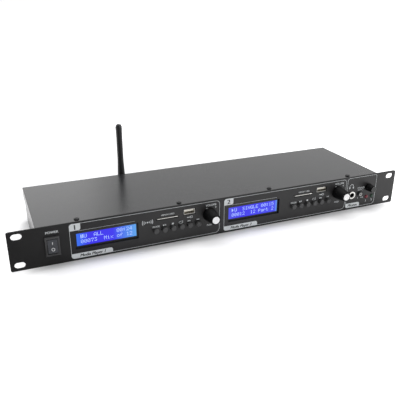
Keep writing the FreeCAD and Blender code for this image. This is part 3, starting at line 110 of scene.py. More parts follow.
def finish(name, colour, tint, rough, grain, depth):
    """Principled material; grain is the size of a speck and depth its height, in millimetres."""
    material = bpy.data.materials.new(name)
    material.use_nodes = True
    tree = material.node_tree
    shader = tree.nodes["Principled BSDF"]
    place = tree.nodes.new("ShaderNodeTexCoord").outputs["Object"]
    drift = noise(tree, place, DRIFT_SCALE, DRIFT_DETAIL)
    speck = noise(tree, place, 1 / (grain * MM), SPECK_DETAIL)
    ramp = tree.nodes.new("ShaderNodeValToRGB")
    for stop, spot, share in zip(ramp.color_ramp.elements, TINT_STOPS, (1 - tint, 1 + tint)):
        stop.position = spot
        stop.color = [min(1, part * share) for part in colour] + [1]
    tree.links.new(drift, ramp.inputs["Fac"])
    tree.links.new(ramp.outputs["Color"], shader.inputs["Base Color"])
    gloss = tree.nodes.new("ShaderNodeMapRange")
    gloss.inputs["To Min"].default_value, gloss.inputs["To Max"].default_value = rough
    tree.links.new(speck, gloss.inputs["Value"])
    tree.links.new(gloss.outputs["Result"], shader.inputs["Roughness"])
    bump = tree.nodes.new("ShaderNodeBump")
    bump.inputs["Distance"].default_value = depth * MM
    tree.links.new(speck, bump.inputs["Height"])
    tree.links.new(bump.outputs["Normal"], shader.inputs["Normal"])
    return material


panel_paint = finish("panel_paint", (0.012, 0.0115, 0.012), 0.15, (0.38, 0.5), 0.5, 0.012)
print("the panel's paint has", len(panel_paint.node_tree.nodes), "nodes")


# %% Find a node of a material, and set its shader
def part_of(material, kind):
    """The first node of a kind in a material."""
    return next(node for node in material.node_tree.nodes if node.bl_idname == kind)


def place_of(material):
    """The object coordinates that a material reads."""
    return part_of(material, "ShaderNodeTexCoord").outputs["Object"]


def shader_of(material):
    """The Principled shader of a material."""
    return part_of(material, "ShaderNodeBsdfPrincipled")


def set_shader(material, settings):
    """Set values that are the same all over a material on the shader's own sockets."""
    for socket, value in settings.items():
        shader_of(material).inputs[socket].default_value = value


print("its shader has", len(shader_of(panel_paint).inputs), "sockets")

# %% [markdown]
# ## Paint, plastic and plating
# The front panel and the case are steel with black paint. The cover's paint is smoother, so it
# mirrors the pale room softly at a low angle, while the panel's paint is duller. A coat layer
# over the base could do this too, but a plain change of roughness is enough and stays easy to
# read. Nuts and connectors are plated: metallic, with the scratches' direction left out because
# the pieces are so small. The cover's screws are blackened, so they take a dull, dark gloss.

# %% Finishes by the name of the slot in the model's record
finishes = {
    "panel_paint": panel_paint,
    "case_paint": finish("case_paint", (0.016, 0.0165, 0.018), 0.15, (0.21, 0.31), 0.6, 0.006),
    "black_screw": finish("black_screw", (0.012, 0.012, 0.013), 0.2, (0.3, 0.45), 0.4, 0.006),
    "zinc_steel": finish("zinc_steel", (0.62, 0.61, 0.58), 0.1, (0.25, 0.42), 0.3, 0.008),
    "bright_nickel": finish("bright_nickel", (0.78, 0.77, 0.74), 0.06, (0.12, 0.24), 0.3, 0.003),
    "phono_nickel": finish("phono_nickel", (0.76, 0.74, 0.68), 0.06, (0.15, 0.28), 0.3, 0.003),
    "gold_brass": finish("gold_brass", (0.83, 0.6, 0.26), 0.08, (0.16, 0.3), 0.3, 0.003),
    "switch_plastic": finish("switch_plastic", (0.06, 0.06, 0.062), 0.1, (0.3, 0.42), 0.3, 0.008),
    "rocker_plastic": finish("rocker_plastic", (0.062, 0.065, 0.074), 0.1, (0.22, 0.32), 0.3,
                             0.004),
    "key_plastic": finish("key_plastic", (0.055, 0.055, 0.056), 0.12, (0.42, 0.55), 0.25, 0.012),
    "pale_key": finish("pale_key", (0.5, 0.49, 0.48), 0.08, (0.35, 0.5), 0.25, 0.01),
    "knob_plastic": finish("knob_plastic", (0.0025, 0.0025, 0.0028), 0.12, (0.55, 0.7), 0.3, 0.012),
    "display_steel": finish("display_steel", (0.014, 0.014, 0.016), 0.15, (0.3, 0.45), 0.4, 0.01),
    "tongue_plastic": finish("tongue_plastic", (0.82, 0.79, 0.7), 0.06, (0.3, 0.42), 0.3, 0.006),
    "green_board": finish("green_board", (0.02, 0.12, 0.05), 0.25, (0.28, 0.45), 0.6, 0.02),
    "red_lamp": finish("red_lamp", (0.15, 0.012, 0.022), 0.1, (0.12, 0.2), 0.4, 0.002),
    "green_lamp": finish("green_lamp", (0.014, 0.045, 0.024), 0.1, (0.12, 0.2), 0.4, 0.002),
    "inlet_plastic": finish("inlet_plastic", (0.013, 0.013, 0.014), 0.1, (0.35, 0.5), 0.3, 0.01),
    "antenna_plastic": finish("antenna_plastic", (0.014, 0.014, 0.015), 0.12, (0.4, 0.55), 0.4,
                              0.012),
}
for name in ("zinc_steel", "bright_nickel", "phono_nickel", "gold_brass"):
    set_shader(finishes[name], {"Metallic": 1})
set_shader(finishes["black_screw"], {"Specular IOR Level": 0.25})
set_shader(finishes["knob_plastic"], {"Specular IOR Level": 0.12})
print(len(finishes), "finishes")


# %% Dull the paint on the panel's cut edges, where powder sits thin and rough
def math_of(tree, operation, *values):
    """Join values with one operation; each may be a socket or a plain number."""
    node = tree.nodes.new("ShaderNodeMath")
    node.operation = operation
    for socket, value in zip(node.inputs, values):
        if isinstance(value, (int, float)):
            socket.default_value = value
        else:
            tree.links.new(value, socket)
    return node.outputs["Value"]


def parts_of(tree, place):
    """The X, Y and Z outputs of a point."""
    parts = tree.nodes.new("ShaderNodeSeparateXYZ")
    tree.links.new(place, parts.inputs[0])
    return parts.outputs


FACE_MARGIN = 0.05 * MM
low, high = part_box("front_panel")
paint = panel_paint.node_tree
depth = parts_of(paint, place_of(panel_paint))["Y"]
cut = math_of(paint, "COMPARE", depth, (low.y + high.y) / 2, (high.y - low.y) / 2 - FACE_MARGIN)
gloss = shader_of(panel_paint).inputs["Roughness"]
paint.links.new(math_of(paint, "MAXIMUM", gloss.links[0].from_socket, cut), gloss)
print("cut edges lie between", round(low.y / MM, 2), "and", round(high.y / MM, 2), "mm")

# %% [markdown]
# ## Two colours in one piece
# The select button is pale with a dark middle and a dark rim, and the bright cap of a volume
# knob has a dark edge. Two pieces could show that, but the split is only paint or a turned
# groove. We keep one piece, measure how far a point lies from the piece's own axis, and change
# the colour there.

# %% Split a finish by the distance from an axis
def length_of(tree, place):
    """The length of a vector."""
    measure = tree.nodes.new("ShaderNodeVectorMath")
    measure.operation = "LENGTH"
    tree.links.new(place, measure.inputs[0])
    return measure.outputs["Value"]


def centre_of(node):
    """Centre of a CAD piece."""
    low, high = (Vector(corner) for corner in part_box(node))
    return (low + high) / 2


def two_tone(material, node, inner, outer, other):
    """Keep a colour between two radii about the line front to back through a piece's centre."""
    tree, shader, centre = material.node_tree, shader_of(material), centre_of(node)
    parts = parts_of(tree, place_of(material))
    offsets = tree.nodes.new("ShaderNodeCombineXYZ")
    for axis, value in (("X", centre.x), ("Z", centre.z)):
        tree.links.new(math_of(tree, "SUBTRACT", parts[axis], value), offsets.inputs[axis])
    band = math_of(tree, "COMPARE", length_of(tree, offsets.outputs["Vector"]),
                   (inner + outer) / 2, (outer - inner) / 2)
    mix = tree.nodes.new("ShaderNodeMix")
    mix.data_type = "RGBA"
    mix.inputs["A"].default_value = (*other, 1)
    tree.links.new(band, mix.inputs["Factor"])
    tree.links.new(shader.inputs["Base Color"].links[0].from_socket, mix.inputs["B"])
    tree.links.new(mix.outputs["Result"], shader.inputs["Base Color"])


BUTTON_PALE, BUTTON_DARK = mm(1.15, 2.2), (0.02, 0.026, 0.028)
CAP_PALE, CAP_DARK = 4.25 * MM, (0.006, 0.006, 0.0065)
two_tone(finishes["pale_key"], "select_button", *BUTTON_PALE, BUTTON_DARK)
own_finish = {}
for player in (1, 2):
    node = f"volume_cap_{player}"
    own_finish[node] = finish(node, (0.98, 0.98, 0.985), 0.02, (0.22, 0.34), 0.25, 0.004)
    two_tone(own_finish[node], node, 0, CAP_PALE, CAP_DARK)
print("two colours on the select button and on", *own_finish)

# %% [markdown]
# ## The blue of the displays
# Each display is lit by a lamp at its end, so its blue runs from violet to a paler blue. A plain
# glow would look flat. A colour ramp along the length of the glass gives the same change, and as
# the glass makes its own light, the ramp feeds its emission.

# %% Light the two displays from end to end
DISPLAY_GLOW = 0.95
VIOLET = (0.045, 0.032, 0.86)
BLUES = {
    1: ((0.03, (0.04, 0.17, 0.88)), (0.22, VIOLET), (0.6, VIOLET), (0.97, (0.11, 0.38, 0.84))),
    2: ((0.03, (0.08, 0.085, 0.78)), (0.3, VIOLET), (0.93, (0.06, 0.07, 0.86)),
        (0.99, (0.16, 0.4, 0.9))),
}


def lit_display(node, stops):
    """Glass whose own light runs through a few colours from the left end to the right one."""
    glass = finish(node, (0.004, 0.006, 0.05), 0.05, (0.08, 0.12), 0.5, 0.001)
    tree = glass.node_tree
    low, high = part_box(node)
    span = tree.nodes.new("ShaderNodeMapRange")
    span.inputs["From Min"].default_value = low.x
    span.inputs["From Max"].default_value = high.x
    tree.links.new(parts_of(tree, place_of(glass))["X"], span.inputs["Value"])
    blue = tree.nodes.new("ShaderNodeValToRGB")
    for _ in stops[2:]:
        blue.color_ramp.elements.new(0.5)
    for stop, (spot, colour) in zip(blue.color_ramp.elements, stops):
        stop.position = spot
        stop.color = (*colour, 1)
    tree.links.new(span.outputs["Result"], blue.inputs["Fac"])
    tree.links.new(blue.outputs["Color"], shader_of(glass).inputs["Emission Color"])
    set_shader(glass, {"Emission Strength": DISPLAY_GLOW, "Specular IOR Level": 0.3})
    return glass


for player, stops in BLUES.items():
    node = f"display_glass_{player}"
    own_finish[node] = lit_display(node, stops)
    print(node, "runs through", len(stops), "blues")


# %% Dress the solids
def dress(piece, material):
    """Give a piece one material."""
    piece.data.materials.clear()
    piece.data.materials.append(material)


for subpart in frame["record"]["subparts"]:
    node = subpart["node"]
    dress(nodes[node], own_finish.get(node) or finishes[subpart["material_slot"]])

# %% [markdown]
# ## Light and floor
# A black object needs a white surround, because gloss is nothing but the surround mirrored in
# the paint. The world is white to the camera and in reflections, and softer as a light. A large
# lamp above and behind throws the soft shadow forward of the panel, and a smaller one from the
# right shapes the knobs. A third, weak one stands where the left part of the cover mirrors it,
# and lifts that part's sheen. Real studios are dark behind the camera. Black paint shows that as
# a deeper black, so the mirror rays that leave toward the front and left find less light here
# than the others do.

# %% Tell rays apart, by what they are and where they end
DARK_SIDE, RIGHT_SIDE = 0.12, 0.12


def ramp_of(tree, source, start, end, low, high):
    """Smooth step of a value between two points."""
    step = tree.nodes.new("ShaderNodeMapRange")
    step.interpolation_type = "SMOOTHSTEP"
    for socket, value in (("From Min", start), ("From Max", end), ("To Min", low),
                          ("To Max", high)):
        step.inputs[socket].default_value = value
    tree.links.new(source, step.inputs["Value"])
    return step.outputs["Result"]


def studio_dark(tree, place, across, depth):
    """1 for most rays, and less for mirror rays that end at the front and left."""
    parts = parts_of(tree, place)
    left = ramp_of(tree, parts["X"], *across, 1, RIGHT_SIDE)
    front = ramp_of(tree, parts["Y"], *depth, 1, 0)
    path = tree.nodes.new("ShaderNodeLightPath")
    mirrored = math_of(tree, "MULTIPLY", path.outputs["Is Glossy Ray"], 1 - DARK_SIDE)
    loss = math_of(tree, "MULTIPLY", math_of(tree, "MULTIPLY", left, front), mirrored)
    return math_of(tree, "SUBTRACT", 1, loss)


def only_seen(tree):
    """Value 1 for camera, mirror and glass rays, and 0 for the light that falls on things."""
    path = tree.nodes.new("ShaderNodeLightPath")
    seen = path.outputs["Is Camera Ray"]
    for ray in ("Is Glossy Ray", "Is Transmission Ray"):
        seen = math_of(tree, "MAXIMUM", seen, path.outputs[ray])
    return seen


print("mirror rays to the front and left find", DARK_SIDE, "of the light")

# %% The world, white to the camera and softer as a light
WORLD_LIGHT = 0.54
SKY_ACROSS, SKY_DEPTH = (-0.05, 0.35), (-0.3, 0)
world = bpy.data.worlds.new("studio")
world.use_nodes = True
bpy.context.scene.world = world
air = world.node_tree
sky = air.nodes["Background"]
toward = air.nodes.new("ShaderNodeTexCoord").outputs["Generated"]
strength = ramp_of(air, only_seen(air), 0, 1, WORLD_LIGHT, 1)
air.links.new(math_of(air, "MULTIPLY", strength, studio_dark(air, toward, SKY_ACROSS, SKY_DEPTH)),
              sky.inputs["Strength"])
sky.inputs["Color"].default_value = (1, 1, 1, 1)
print("world light", WORLD_LIGHT)


# %% The three lamps
def lamp(name, place, target, width, depth, watts):
    """Soft box that faces a target."""
    light = bpy.data.lights.new(name, "AREA")
    light.shape = "RECTANGLE"
    light.size, light.size_y = width, depth
    light.energy = watts
    item = bpy.data.objects.new(name, light)
    facing = (Vector(target) - Vector(place)).to_track_quat("-Z", "Y")
    item.matrix_world = Matrix.Translation(place) @ facing.to_matrix().to_4x4()
    bpy.context.collection.objects.link(item)


lamp("back_lamp", (0.05, 0.5, 1.4), (0, 0.03, 0), 1.7, 0.7, 14.5)
lamp("side_lamp", (0.85, -0.5, 0.5), (0.05, 0, 0), 0.5, 0.5, 3.5)
lamp("sheen_lamp", (-0.15, 1.5, 0.6), (-0.2, 0.06, 0), 0.6, 0.5, 0.75)
print("lamps", [light.name for light in bpy.data.lights])

# %% [markdown]
# ## White paper under the unit
# The floor takes the unit's shadow and is white elsewhere. Plain white paper would come out grey
# under this light, so it also glows, for the camera and for mirrors only. The glow grows with
# the distance from the unit. Past its two ends and beyond the first centimetres from the case it
# is painted light, which thins the unit's shadow there.

# %% Lay the paper
FLOOR_HALF = 6
PAPER_WHITE = (0.8, 0.8, 0.81)
sheet = bmesh.new()
bmesh.ops.create_grid(sheet, x_segments=1, y_segments=1, size=FLOOR_HALF)
bmesh.ops.translate(sheet, verts=sheet.verts, vec=(0, 0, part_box("chassis_tray")[0].z))
floor_mesh = bpy.data.meshes.new("floor")
sheet.to_mesh(floor_mesh)
sheet.free()
floor = bpy.data.objects.new("floor", floor_mesh)
bpy.context.collection.objects.link(floor)
paper = finish("floor_paper", PAPER_WHITE, 0.01, (0.8, 0.9), 2, 0.01)
set_shader(paper, {"Emission Color": (1, 1, 1, 1), "Specular IOR Level": 0})
dress(floor, paper)
print("floor at", round(floor_mesh.vertices[0].co.z, 4))

# %% Let it glow, and paint light into the shadow past the ends and away from the case
FAR_START, FAR_FULL, FAR_GLOW = 0.25, 0.9, 0.5
ENDS_START, ENDS_FULL, ENDS_GLOW = 0.195, 0.235, 0.36
CLOSE_FULL, CLOSE_GLOW = 0.018, 0.25
FLOOR_ACROSS, FLOOR_DEPTH = (-0.27, -0.06), (-0.02, 0.03)
PANEL_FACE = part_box("front_panel")[0].y
case_side, case_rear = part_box("top_cover")[1].xy
fibre = paper.node_tree
place = place_of(paper)
parts = parts_of(fibre, place)
aside = math_of(fibre, "ABSOLUTE", parts["X"])
gap = math_of(fibre, "MAXIMUM", math_of(fibre, "SUBTRACT", aside, case_side),
              math_of(fibre, "MAXIMUM", math_of(fibre, "SUBTRACT", PANEL_FACE, parts["Y"]),
                      math_of(fibre, "SUBTRACT", parts["Y"], case_rear)))
far_off = ramp_of(fibre, length_of(fibre, place), FAR_START, FAR_FULL, 0, FAR_GLOW)
# Past the two ends and away from the case, the glow is painted light that thins the shadow.
past_ends = ramp_of(fibre, aside, ENDS_START, ENDS_FULL, 0, ENDS_GLOW)
close_by = ramp_of(fibre, gap, 0, CLOSE_FULL, 0, CLOSE_GLOW)
shade = studio_dark(fibre, place, FLOOR_ACROSS, FLOOR_DEPTH)
glow = math_of(fibre, "MULTIPLY", only_seen(fibre),
               math_of(fibre, "ADD", math_of(fibre, "ADD", far_off, close_by), past_ends))
fibre.links.new(math_of(fibre, "MULTIPLY", glow, shade),
                shader_of(paper).inputs["Emission Strength"])
shaded = fibre.nodes.new("ShaderNodeVectorMath")
shaded.operation = "SCALE"
fibre.links.new(shader_of(paper).inputs["Base Color"].links[0].from_socket, shaded.inputs[0])
fibre.links.new(shade, shaded.inputs["Scale"])
fibre.links.new(shaded.outputs["Vector"], shader_of(paper).inputs["Base Color"])
print("the glow is full", CLOSE_FULL / MM, "mm from the case")

# %% [markdown]
# ## Printing on the panel
# The white lines, words and signs on a real panel are screen printed: ink pushed through a
# stencil, a few hundredths of a millimetre thick. A painted texture would blur close up, so each
# mark here is a very thin closed plate that stands on the paint and sinks a hair into it. All
# marks of one ink end up in one mesh, as one pass of the screen would print them.

# %% Thicken a flat shape, stand it up and keep it
INK_RISE = 0.05 * MM
INK_SINK = 0.02 * MM
UPRIGHT = math.radians(90)


def thicken(flat, rise):
    """Give a flat shape that faces up a thickness, from just under zero to its rise."""
    bmesh.ops.translate(flat, verts=flat.verts, vec=(0, 0, -INK_SINK))
    raised = bmesh.ops.extrude_face_region(flat, geom=flat.faces[:])
    tops = [item for item in raised["geom"] if isinstance(item, bmesh.types.BMVert)]
    bmesh.ops.translate(flat, verts=tops, vec=(0, 0, INK_SINK + rise))
    bmesh.ops.recalc_face_normals(flat, faces=flat.faces)


def stand_up(shape, x, z, face, lean=0):
    """Turn a shape that lies on the ground to face the front, and carry it to its place."""
    tip = UPRIGHT - math.radians(lean)
    bmesh.ops.rotate(shape, verts=shape.verts, matrix=Matrix.Rotation(tip, 3, "X"))
    bmesh.ops.translate(shape, verts=shape.verts, vec=(x, face, z))


def add_to(mesh_stock, shape):
    """Add one shape to the shapes that are printed together."""
    mesh = bpy.data.meshes.new("part")
    shape.to_mesh(mesh)
    shape.free()
    mesh_stock.from_mesh(mesh)
    bpy.data.meshes.remove(mesh)


print("ink stands", INK_RISE / MM, "mm proud")


# %% Print a rounded rectangle
CORNER_STEPS = 6


def outline(flat, width):
    """Keep only a band of this width along the edge of a flat shape."""
    inner = flat.faces[:]
    bmesh.ops.inset_region(flat, faces=inner, thickness=width, use_boundary=True,
                           use_even_offset=True)
    bmesh.ops.delete(flat, geom=inner, context="FACES")


def patch(stock, left, bottom, right, top, radii=(0, 0, 0, 0), line=0, face=PANEL_FACE, lean=0):
    """Rounded rectangle of ink, filled or as an outline; radii go round from the lower left."""
    flat = bmesh.new()
    bmesh.ops.create_grid(flat, x_segments=1, y_segments=1, size=0.5)
    bmesh.ops.scale(flat, verts=flat.verts, vec=(right - left, top - bottom, 1))
    corners = sorted(flat.verts, key=lambda v: math.atan2(v.co.y, v.co.x))
    for corner, radius in zip(corners, radii):
        if radius:
            bmesh.ops.bevel(flat, geom=[corner], offset=radius, segments=CORNER_STEPS,
                            profile=0.5, affect="VERTICES", material=-1)
    if line:
        outline(flat, line)
    thicken(flat, INK_RISE)
    stand_up(flat, (left + right) / 2, (bottom + top) / 2, face, lean)
    add_to(stock, flat)


pale = bmesh.new()
FRAME_LINE = 0.36 * MM
BLOCK = mm(166.5, -19.4, 211.5, 21)
patch(pale, *BLOCK, mm(3, 4.5, 3, 3), line=FRAME_LINE)
print("the frame of the headphone block has", len(pale.faces), "faces")


# %% Print a polygon, a dot or a ring
def dot(stock, sides, x, z, radius, turn=0, squash=(1, 1), line=0, keep=None, face=PANEL_FACE,
        lean=0):
    """Regular polygon of ink, filled or as a ring; keep says which faces of a ring to keep."""
    flat = bmesh.new()
    bmesh.ops.create_circle(flat, cap_ends=True, segments=sides, radius=radius)
    bmesh.ops.rotate(flat, verts=flat.verts, matrix=Matrix.Rotation(math.radians(turn), 3, "Z"))
    bmesh.ops.scale(flat, verts=flat.verts, vec=(*squash, 1))
    if line:
        outline(flat, line)
    if keep:
        spare = [part for part in flat.faces if not keep(part.calc_center_median() / radius)]
        bmesh.ops.delete(flat, geom=spare, context="FACES")
    thicken(flat, INK_RISE)
    stand_up(flat, x, z, face, lean)
    add_to(stock, flat)


WAVES = mm(-96.5, 7.9)
WAVE_REACHES = mm(2.6, 4.4, 6.2)
dot(pale, 20, *WAVES, 0.9 * MM)
for reach in WAVE_REACHES:
    dot(pale, 40, *WAVES, reach, line=0.6 * MM,
        keep=lambda spot: abs(spot.y) < abs(spot.x) * 0.55)
print("radio waves, with", len(WAVE_REACHES), "arcs on each side")

# %% Print a word
CAPITAL = 0.69


def words(stock, text, x, z, height, slant=0, stretch=1, rise=INK_RISE, strike=0):
    """Printed text, centred at a place; bold text is struck twice, this far to each side."""
    curve = bpy.data.curves.new("words", "FONT")
    curve.body = text
    curve.size = height / CAPITAL
    curve.shear = slant
    curve.align_x = "CENTER"
    curve.resolution_u = 3
    item = bpy.data.objects.new("words", curve)
    mesh = item.to_mesh()
    flat = bmesh.new()
    flat.from_mesh(mesh)
    item.to_mesh_clear()
    bpy.data.objects.remove(item)
    bmesh.ops.remove_doubles(flat, verts=flat.verts, dist=height * 0.001)
    bmesh.ops.scale(flat, verts=flat.verts, vec=(stretch, 1, 1))
    bmesh.ops.translate(flat, verts=flat.verts, vec=(0, -height / 2, 0))
    thicken(flat, rise)
    for blow, side in enumerate((-1, 1) if strike else (0,)):
        copy = flat.copy()
        stand_up(copy, x + side * strike, z, PANEL_FACE + blow * INK_SINK / 2)
        add_to(stock, copy)
    flat.free()


words(pale, "POWER", centre_of("switch_housing").x + 0.7 * MM, 15.2 * MM, 2.6 * MM,
      strike=0.08 * MM)
print("the pale ink has", len(pale.faces), "faces so far")

# %% [markdown]
# ## What is printed for each player
# Each player has a thin frame round its window and keys, a pale tab with its number, a pale tab
# under the window, and a small word or sign over each control. We take the places from the
# pieces themselves, so a word always sits over its key, and draw the signs from triangles,
# squares and rings. An arc is a ring with some of its faces taken away. A tab lies under the
# frame's line by a hair and stops halfway across it, so that no two faces share a place.

# %% Draw the signs over the keys
LEGEND_LEVEL = 1.4 * MM


def arrow(stock, x, z, size, way=1):
    """Small filled triangle that points right, or left where way is -1."""
    dot(stock, 3, x, z, size, 90 if way < 0 else -90, (0.8, 1))


def bar(x, half):
    """Upright bar of a sign."""
    patch(pale, x - half, LEGEND_LEVEL - 1.0 * MM, x + half, LEGEND_LEVEL + 1.0 * MM)


def key_signs(player):
    """The six legends over the keys."""
    at = {key: centre_of(f"key_{key}_{player}").x
          for key in ("mode", "play", "stop", "repeat", "previous", "next")}
    words(pale, "MODE", at["mode"] + 0.6 * MM, LEGEND_LEVEL - 0.3 * MM, 2.0 * MM,
          strike=0.07 * MM)
    arrow(pale, at["play"] - 0.9 * MM, LEGEND_LEVEL, 1.3 * MM)
    for step in mm(0.7, 1.7):
        bar(at["play"] + step, 0.25 * MM)
    dot(pale, 4, at["stop"], LEGEND_LEVEL, 1.5 * MM, 45)
    dot(pale, 28, at["repeat"] - 0.4 * MM, LEGEND_LEVEL, 2.6 * MM, 0, (1, 0.55), 0.4 * MM,
        lambda spot: spot.x < 0.45 or spot.y < 0.1)
    arrow(pale, at["repeat"] + 1.5 * MM, LEGEND_LEVEL + 1.1 * MM, 0.9 * MM)
    for key, way in (("previous", -1), ("next", 1)):
        middle = at[key] - 0.3 * MM
        for step in mm(-0.7, 0.7):
            arrow(pale, middle + step * way, LEGEND_LEVEL, 1.15 * MM, way)
        bar(middle + 1.7 * MM * way, 0.2 * MM)


for player in (1, 2):
    key_signs(player)
print("with the signs over the keys, the pale ink has", len(pale.faces), "faces")

# %% Draw the frame, the tabs and the words of both players
dark = bmesh.new()
FRAME_LEFT, FRAME_RIGHT, FRAME_LOW, FRAME_HIGH = mm(-180.2, -10.5, -19.5, 20.5)
WINDOW = mm(68, 19)
TAB_FACE = PANEL_FACE + INK_SINK / 2
LAP = FRAME_LINE / 2


def name_tab(text, x, height, left, low, right, high):
    """Pale tab in a frame's lower left corner, with slanted words."""
    patch(pale, left + LAP, low + LAP, right, high, mm(2.8, 0, 2.5, 0), face=TAB_FACE)
    words(dark, text, x, (low + high) / 2, height, slant=0.25, rise=2 * INK_RISE,
          strike=0.17 * MM)


def player_print(player):
    """All print round a player but its key signs, and a painted highlight over its window."""
    window, knob = centre_of(f"display_glass_{player}"), centre_of(f"volume_knob_{player}")
    card, port = centre_of(f"card_socket_{player}"), centre_of(f"usb_shell_{player}")
    shift = window.x - centre_of("display_glass_1").x
    left = FRAME_LEFT + shift
    patch(pale, left, FRAME_LOW, FRAME_RIGHT + shift, FRAME_HIGH, mm(3, 5.5, 4.5, 3),
          line=FRAME_LINE)
    patch(pale, left + LAP, 12.6 * MM, left + 11.6 * MM, FRAME_HIGH - LAP, mm(0, 2.5, 0, 2.8),
          face=TAB_FACE)
    words(dark, str(player), left + 5.8 * MM, 16.5 * MM, 5.3 * MM, rise=2 * INK_RISE,
          strike=0.28 * MM)
    name_tab(f"Media Player {player}", left + 22.5 * MM, 3.2 * MM, left, FRAME_LOW,
             left + 44 * MM, -13.9 * MM)
    # The pale strip over the window is a painted highlight for the light on its upper edge.
    window_highlight_level = window.z + WINDOW[1] / 2 + 2.1 * MM
    patch(pale, window.x - WINDOW[0] / 2 + 4 * MM, window_highlight_level, window.x + WINDOW[0] / 2 - 4 * MM,
          window_highlight_level + 0.21 * MM)
    words(pale, "MEMORY CARD", card.x + 0.4 * MM, 13.6 * MM, 1.9 * MM, stretch=0.78)
    patch(pale, port.x - 3.0 * MM, 5.5 * MM, port.x + 0.6 * MM, 6.3 * MM)
    patch(pale, port.x + 0.6 * MM, 4.7 * MM, port.x + 3.4 * MM, 7.1 * MM, line=0.4 * MM)
    words(pale, "VOLUME", knob.x + 2.2 * MM, 16.4 * MM, 2.3 * MM, strike=0.06 * MM)
    patch(pale, knob.x - 4.0 * MM, 12.7 * MM, knob.x - 1.9 * MM, 13.3 * MM)
    words(pale, "+", knob.x + 7.9 * MM, 12.9 * MM, 3.4 * MM)
    words(pale, "PUSH", knob.x + 0.2 * MM, -7.9 * MM, 1.9 * MM)


for player in (1, 2):
    player_print(player)
print("printed both players, with", len(dark.faces), "faces of dark ink")

# %% [markdown]
# ## The headphone block
# The block at the right end, whose frame was the first rectangle above, has a tab and a few small
# words. The sign over the socket is a headband, which is the upper part of a ring, with two ear
# cushions at its ends. When the last mark is printed, each ink becomes one object with its own
# finish. A finished object is smooth where its faces meet at a small angle, and sharp elsewhere.

# %% Print the headphone block
phones, select = centre_of("phones_socket"), centre_of("select_button")
BAND = phones.x - 0.9 * MM, 9.3 * MM
CUSHION_OUT, CUSHION_HALF, CUSHION_LOW, CUSHION_HIGH = mm(2.8, 0.75, 6.6, 9.0)
name_tab("Phones", *mm(177.2, 3.4), *BLOCK[:2], *mm(188, -13.4))
words(pale, "PHONES", select.x + 1.2 * MM, 6.0 * MM, 1.8 * MM, stretch=1.12)
words(pale, "SELECT", select.x + 1.0 * MM, 3.4 * MM, 1.7 * MM, stretch=1.12)
for number in (1, 2):
    words(pale, str(number), centre_of(f"lamp_{number}").x, -13.4 * MM, 2.6 * MM,
          strike=0.12 * MM)
words(pale, "1", select.x - 2.4 * MM, -7.6 * MM, 1.8 * MM, strike=0.15 * MM)
words(pale, "1+2", select.x + 4.0 * MM, -7.8 * MM, 1.7 * MM, strike=0.08 * MM)
dot(pale, 32, *BAND, 3.3 * MM, squash=(0.95, 1), line=0.55 * MM, keep=lambda spot: spot.y > -0.3)
for side in (-1, 1):
    cushion = BAND[0] + side * CUSHION_OUT
    patch(pale, cushion - CUSHION_HALF, CUSHION_LOW, cushion + CUSHION_HALF, CUSHION_HIGH,
          mm(0.4, 0.4, 0.4, 0.4))
print("the pale ink has", len(pale.faces), "faces")

# %% Turn the two inks into objects
SMOOTH_BELOW = math.radians(35)


def piece(name, shape, material, body="root"):
    """Turn a finished shape into an object that rides on a body of the model."""
    mesh = bpy.data.meshes.new(name)
    shape.to_mesh(mesh)
    shape.free()
    mesh.shade_smooth()
    mesh.set_sharp_from_angle(angle=SMOOTH_BELOW)
    item = bpy.data.objects.new(name, mesh)
    bpy.context.collection.objects.link(item)
    dress(item, material)
    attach(item, body)
    print(name, "has", len(mesh.polygons), "faces")
    return item


# The pale ink also carries the painted highlight over each display window.
white_ink_and_painted_highlight = finish("white_ink_and_painted_highlight", (0.68, 0.71, 0.72), 0.05, (0.4, 0.55), 0.3, 0.002)
black_ink = finish("black_ink", (0.012, 0.012, 0.013), 0.1, (0.4, 0.55), 0.3, 0.002)
piece("panel_print_pale_and_painted_highlight", pale, white_ink_and_painted_highlight)
piece("panel_print_dark", dark, black_ink)

# %% [markdown]
# ## The power switch
# The frame of a rocker switch is moulded with a rounded bead, which catches a line of light. The
# solid's frame is flat, so the bead is a thin bevelled outline laid on it. The rocker has the
# usual line and ring, for on and off, on its two halves. Those marks lean with the rocker's
# faces and travel with it, so we read each face's place and slope from the rocker's mesh.

# %% Round the frame of the switch with a bead
BEAD_WIDTH, BEAD_RISE, BEAD_ROUND = mm(2.1, 0.6, 0.45)
low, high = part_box("switch_housing")
bead = bmesh.new()
bmesh.ops.create_grid(bead, x_segments=1, y_segments=1, size=0.5)
bmesh.ops.scale(bead, verts=bead.verts, vec=(high.x - low.x, high.z - low.z, 1))
outline(bead, BEAD_WIDTH)
thicken(bead, BEAD_RISE)
crests = [edge for edge in bead.edges
          if edge.calc_face_angle(0) > 1 and all(v.co.z > BEAD_RISE / 2 for v in edge.verts)]
bmesh.ops.bevel(bead, geom=crests, offset=BEAD_ROUND, segments=4, profile=0.5, affect="EDGES",
                material=-1)
stand_up(bead, (low.x + high.x) / 2, (low.z + high.z) / 2, low.y)
piece("switch_bead", bead, finishes["switch_plastic"])

